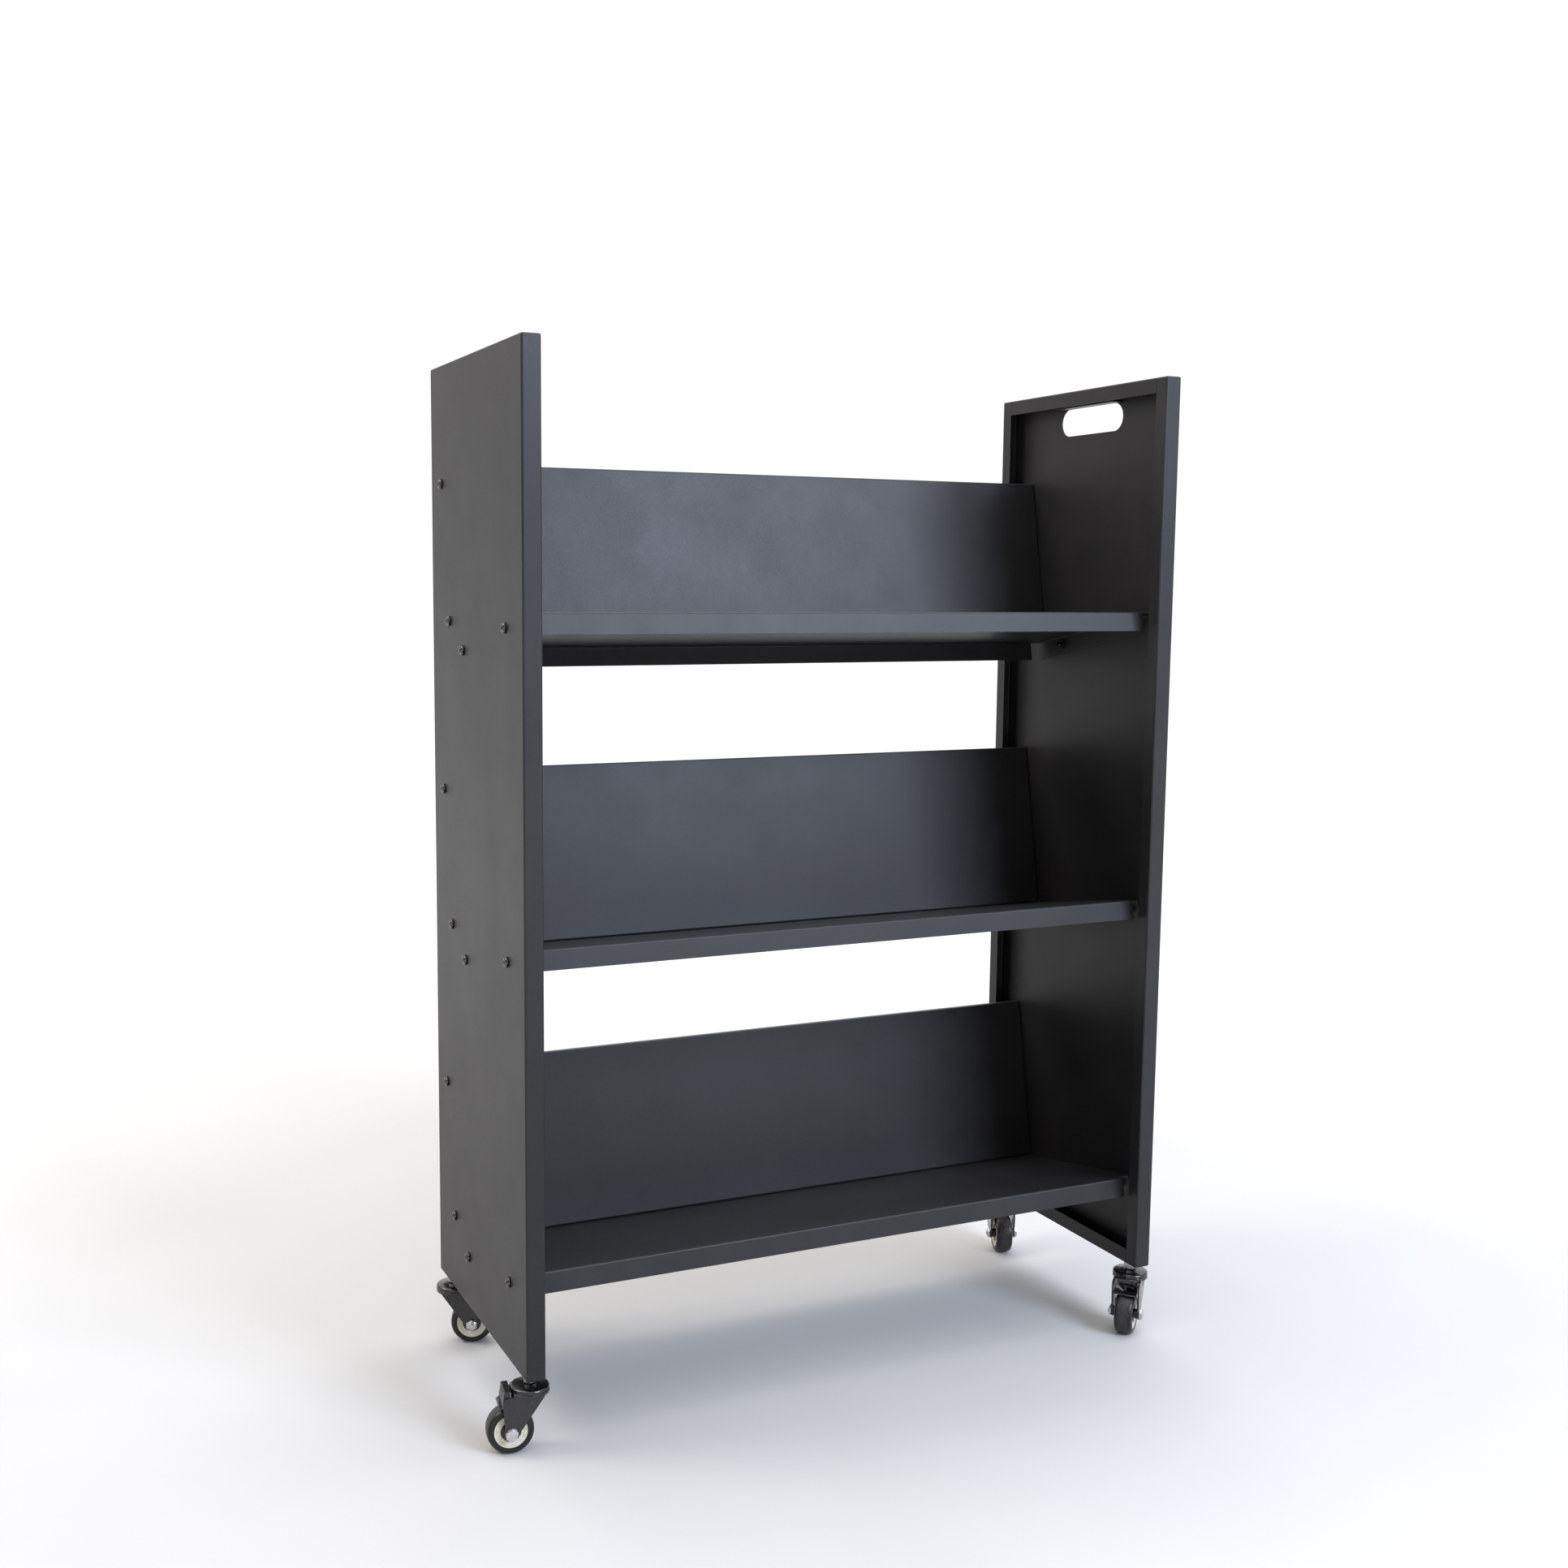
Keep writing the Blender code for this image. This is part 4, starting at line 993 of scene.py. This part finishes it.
def make_axle(corner, material):
    """The axle bolt through the legs and the hub, and the lock nut on its other end."""
    body, matrix = f"{corner}_swivel", wheel_matrix(corner)
    face, chamfer = FORK_OUTER_HALF + GAP, 0.7 * MM
    head, chamfers = hexagon(face, face + AXLE_HEX_HEIGHT, AXLE_HEX_RADIUS)
    washer = cylinder_of((0, 0, face - 0.1 * MM), (0, 0, face + 0.5 * MM), AXLE_HEX_RADIUS * 0.98, 48)
    shank = lathe(
        [
            (0, face + MM),
            (AXLE_RADIUS, face + MM),
            (AXLE_RADIUS, chamfer - AXLE_TIP),
            (AXLE_RADIUS - chamfer, -AXLE_TIP),
            (0, -AXLE_TIP),
        ]
    )
    bolt = f"caster_{corner}_axle_bolt"
    mesh = carved(bolt, head, [chamfers, (washer, "UNION"), (shank, "UNION")])
    show(f"{bolt}_forged", mesh, material, body, [bolt], matrix)
    blank, chamfers = hexagon(-face - AXLE_HEX_HEIGHT * 0.8, -face, AXLE_HEX_RADIUS)
    tip = -face - AXLE_HEX_HEIGHT
    collar = lathe(
        [
            (0, -face - MM),
            (AXLE_HEX_RADIUS * 0.78, -face - MM),
            (AXLE_HEX_RADIUS * 0.78, tip + chamfer),
            (AXLE_HEX_RADIUS * 0.66, tip),
            (0, tip),
        ]
    )
    bore = cylinder_of((0, 0, MM - face), (0, 0, tip - MM), AXLE_RADIUS + 0.1 * MM)
    nut = f"caster_{corner}_axle_nut"
    mesh = carved(nut, blank, [chamfers, (collar, "UNION"), (bore, "DIFFERENCE")])
    show(f"{nut}_forged", mesh, material, body, [nut], matrix)


def pedal_outline():
    """Side view of the brake pedal about its pivot: a square cap, a face plate and a foot lip."""
    reach, drop = PEDAL_LIP_REACH, PEDAL_LIP_DROP
    back = -PEDAL_BARREL_RADIUS - 0.7 * MM
    face = 5.6 * MM
    knee = drop - 2.8 * MM
    return [
        (back, 3.0 * MM),
        (back, PEDAL_CAP_HEIGHT - 0.6 * MM),
        (back + 0.6 * MM, PEDAL_CAP_HEIGHT),
        (face - 2.6 * MM, PEDAL_CAP_HEIGHT),
        (face - 1.4 * MM, PEDAL_CAP_HEIGHT - 1.4 * MM),
        (face, -knee),
        (reach, -drop),
        (reach - 0.4 * MM, -drop - 1.7 * MM),
        (face - 0.6 * MM, -knee - 2.6 * MM),
        (face - 2.7 * MM, -knee - 1.0 * MM),
        (face - 3.4 * MM, 0),
        (face - 4.4 * MM, 3.0 * MM),
    ]


def pedal_ridges():
    """Two anti-slip ridges across the top of the pedal's face."""
    bm = bmesh.new()
    reach = PEDAL_HALF_WIDTH * 0.5
    for drop in (2.6 * MM, 5.6 * MM):
        x, z = 4.2 * MM + drop * 0.1, PEDAL_CAP_HEIGHT - drop
        add_cylinder(bm, (x, -reach, z), (x, reach, z), 0.7 * MM, 16)
    return bm


def lip_shade_block():
    """A dark rubber block under the pedal's lip, narrower towards the tyre: it stands in for the shade in
    the gap between the lip and the tyre.
    """
    reach = PEDAL_LIP_REACH
    top, bottom = PEDAL_LIP_DROP - 0.2 * MM, PEDAL_LIP_DROP + 1.9 * MM
    outline = [
        (reach - 4.4 * MM, -top),
        (reach - 0.8 * MM, -top - 1.3 * MM),
        (reach - 1.4 * MM, -bottom - MM),
        (reach - 3.8 * MM, -bottom),
    ]
    bm = prism(outline, PEDAL_HALF_WIDTH * 0.72)
    for vert in bm.verts:
        if vert.co.z < -bottom + 0.1 * MM:
            vert.co.y *= 0.82
    return bm


def make_pedal(corner, materials):
    """The brake pedal, and a dark block under its lip that stands in for the shade there. Two short
    journals turn in the fork legs.
    """
    x, z = PEDAL_PIVOT
    matrix = swivel_matrix(corner) @ Matrix.Translation((x, 0, z))
    half, reach = PEDAL_HALF_WIDTH, FORK_OUTER_HALF - 0.2 * MM
    steps = [
        (cylinder_of((0, -half, 0), (0, half, 0), PEDAL_BARREL_RADIUS), "UNION"),
        (pedal_ridges(), "UNION"),
        (cylinder_of((0, -reach, 0), (0, reach, 0), PEDAL_JOURNAL_RADIUS), "UNION"),
    ]
    node, body = f"caster_{corner}_brake_pedal", f"{corner}_brake"
    mesh = carved(node, prism(pedal_outline(), half), steps, bevel=0.45 * MM)
    show(f"{node}_pressed", mesh, materials["black_fork"], body, [node], matrix)
    # The dark block is put where the shade under the pedal's lip falls.
    shade_block = carved(f"{node}_shoe", lip_shade_block(), bevel=0.2 * MM)
    show(f"{node}_shoe", shade_block, materials["tyre_rubber"], body, (), matrix)


def make_caster(corner, materials):
    """A whole caster, with a brake pedal where the frame has a joint for one."""
    has_brake = f"{corner}_brake_press" in JOINTS
    make_stem(corner, materials["zinc_steel"])
    make_fork(corner, has_brake, materials["black_fork"])
    make_wheel(corner, materials)
    make_axle(corner, materials["zinc_steel"])
    if has_brake:
        make_pedal(corner, materials)


# ---------------------------------------------------------------- camera, floor and light


def make_camera():
    """A camera in front of the cart and to its left, which looks a little down at it."""
    data = bpy.data.cameras.new("camera")
    data.sensor_width = SENSOR_WIDTH
    data.lens = LENS_LENGTH
    data.shift_x = LENS_SHIFT
    camera = bpy.data.objects.new("camera", data)
    bpy.context.scene.collection.objects.link(camera)
    aim = Matrix.Rotation(CAMERA_YAW, 4, "Z") @ Matrix.Rotation(math.radians(90) + CAMERA_TILT, 4, "X")
    roll = Matrix.Rotation(CAMERA_ROLL, 4, "Z")
    camera.matrix_world = Matrix.Translation(PANEL_LOW + CAMERA_PLACE) @ aim @ roll
    bpy.context.scene.camera = camera


def make_floor():
    """A wide round floor under the wheels."""
    bm = bmesh.new()
    bmesh.ops.create_circle(bm, cap_ends=True, radius=30, segments=64)
    mesh = bpy.data.meshes.new("floor")
    bm.to_mesh(mesh)
    bm.free()
    mesh.materials.append(floor_paint())
    floor = bpy.data.objects.new("floor", mesh)
    bpy.context.scene.collection.objects.link(floor)


def softbox(name, place, target, size, power, colour):
    """A rectangular area light at a place, aimed at a target."""
    data = bpy.data.lights.new(name, "AREA")
    data.shape = "RECTANGLE"
    data.size, data.size_y = size
    data.energy = power
    data.color = colour
    lamp = bpy.data.objects.new(name, data)
    bpy.context.scene.collection.objects.link(lamp)
    aim = (Vector(target) - Vector(place)).to_track_quat("-Z", "Y").to_matrix().to_4x4()
    lamp.matrix_world = Matrix.Translation(place) @ aim


def make_lights():
    """A large cool window in front, a warm light from the left and a weak one overhead."""
    centre = (0, 0, 0.7)
    softbox("window", (1.6, -3.6, 2.5), centre, (1.8, 1.6), 215, (0.70, 0.80, 1.0))
    softbox("side_fill", (-3.0, 1.0, 3.4), (0, 0, 1.2), (1.4, 1.4), 72, (1.0, 0.90, 0.78))
    softbox("overhead", (0.2, 0.6, 3.4), centre, (2.6, 2.6), 60, (1.0, 0.98, 0.95))


def blend_over(tree, value, limits, first, second):
    """World nodes whose colour goes smoothly from first to second as a value passes its limits."""
    spread = tree.nodes.new("ShaderNodeMapRange")
    spread.interpolation_type = "SMOOTHSTEP"
    tree.links.new(value, spread.inputs["Value"])
    spread.inputs["From Min"].default_value, spread.inputs["From Max"].default_value = limits
    mix = tree.nodes.new("ShaderNodeMix")
    mix.data_type = "RGBA"
    tree.links.new(spread.outputs["Result"], mix.inputs["Factor"])
    if isinstance(first, bpy.types.NodeSocket):
        tree.links.new(first, mix.inputs[MIX_FIRST])
    else:
        mix.inputs[MIX_FIRST].default_value = (*first, 1)
    mix.inputs[MIX_SECOND].default_value = (*second, 1)
    return mix.outputs[MIX_RESULT]


def make_world():
    """A white room: bright behind the cart, dimmer and warmer to the sides, brightest overhead."""
    world = bpy.data.worlds.new("studio")
    world.use_nodes = True
    tree = world.node_tree
    direction = tree.nodes.new("ShaderNodeTexCoord").outputs["Generated"]
    behind = tree.nodes.new("ShaderNodeVectorMath")
    behind.operation = "DOT_PRODUCT"
    tree.links.new(direction, behind.inputs[0])
    behind.inputs[1].default_value = (0.45, 0.89, 0.0)
    height = tree.nodes.new("ShaderNodeSeparateXYZ")
    tree.links.new(direction, height.inputs["Vector"])
    walls = blend_over(
        tree, behind.outputs["Value"], (0.35, 0.88), (0.60, 0.57, 0.54), (1.05, 1.05, 1.05)
    )
    room = blend_over(tree, height.outputs["Z"], (0.45, 0.85), walls, (1.7, 1.7, 1.75))
    tree.links.new(room, tree.nodes["Background"].inputs["Color"])
    bpy.context.scene.world = world
    bpy.context.scene.view_settings.view_transform = "Standard"


# ---------------------------------------------------------------- assembly


def make_cart():
    materials = {
        "powder_coat": powder_coat(),
        "shelf_bolt": shelf_bolt(),
        "zinc_steel": zinc_steel(),
        "black_fork": black_fork(),
        "tyre_rubber": tyre_rubber(),
        "hub_plastic": hub_plastic(),
    }
    make_end_panel("left_end_panel", -1, materials["powder_coat"])
    make_end_panel("right_end_panel", 1, materials["powder_coat"])
    for shelf in SHELF_HEIGHTS:
        make_tray(shelf, materials["powder_coat"])
        make_back_plate(shelf, materials["powder_coat"])
    make_shelf_bolts(materials["shelf_bolt"])
    for corner in CORNERS:
        make_caster(corner, materials)


make_cart()
make_camera()
make_floor()
make_lights()
make_world()
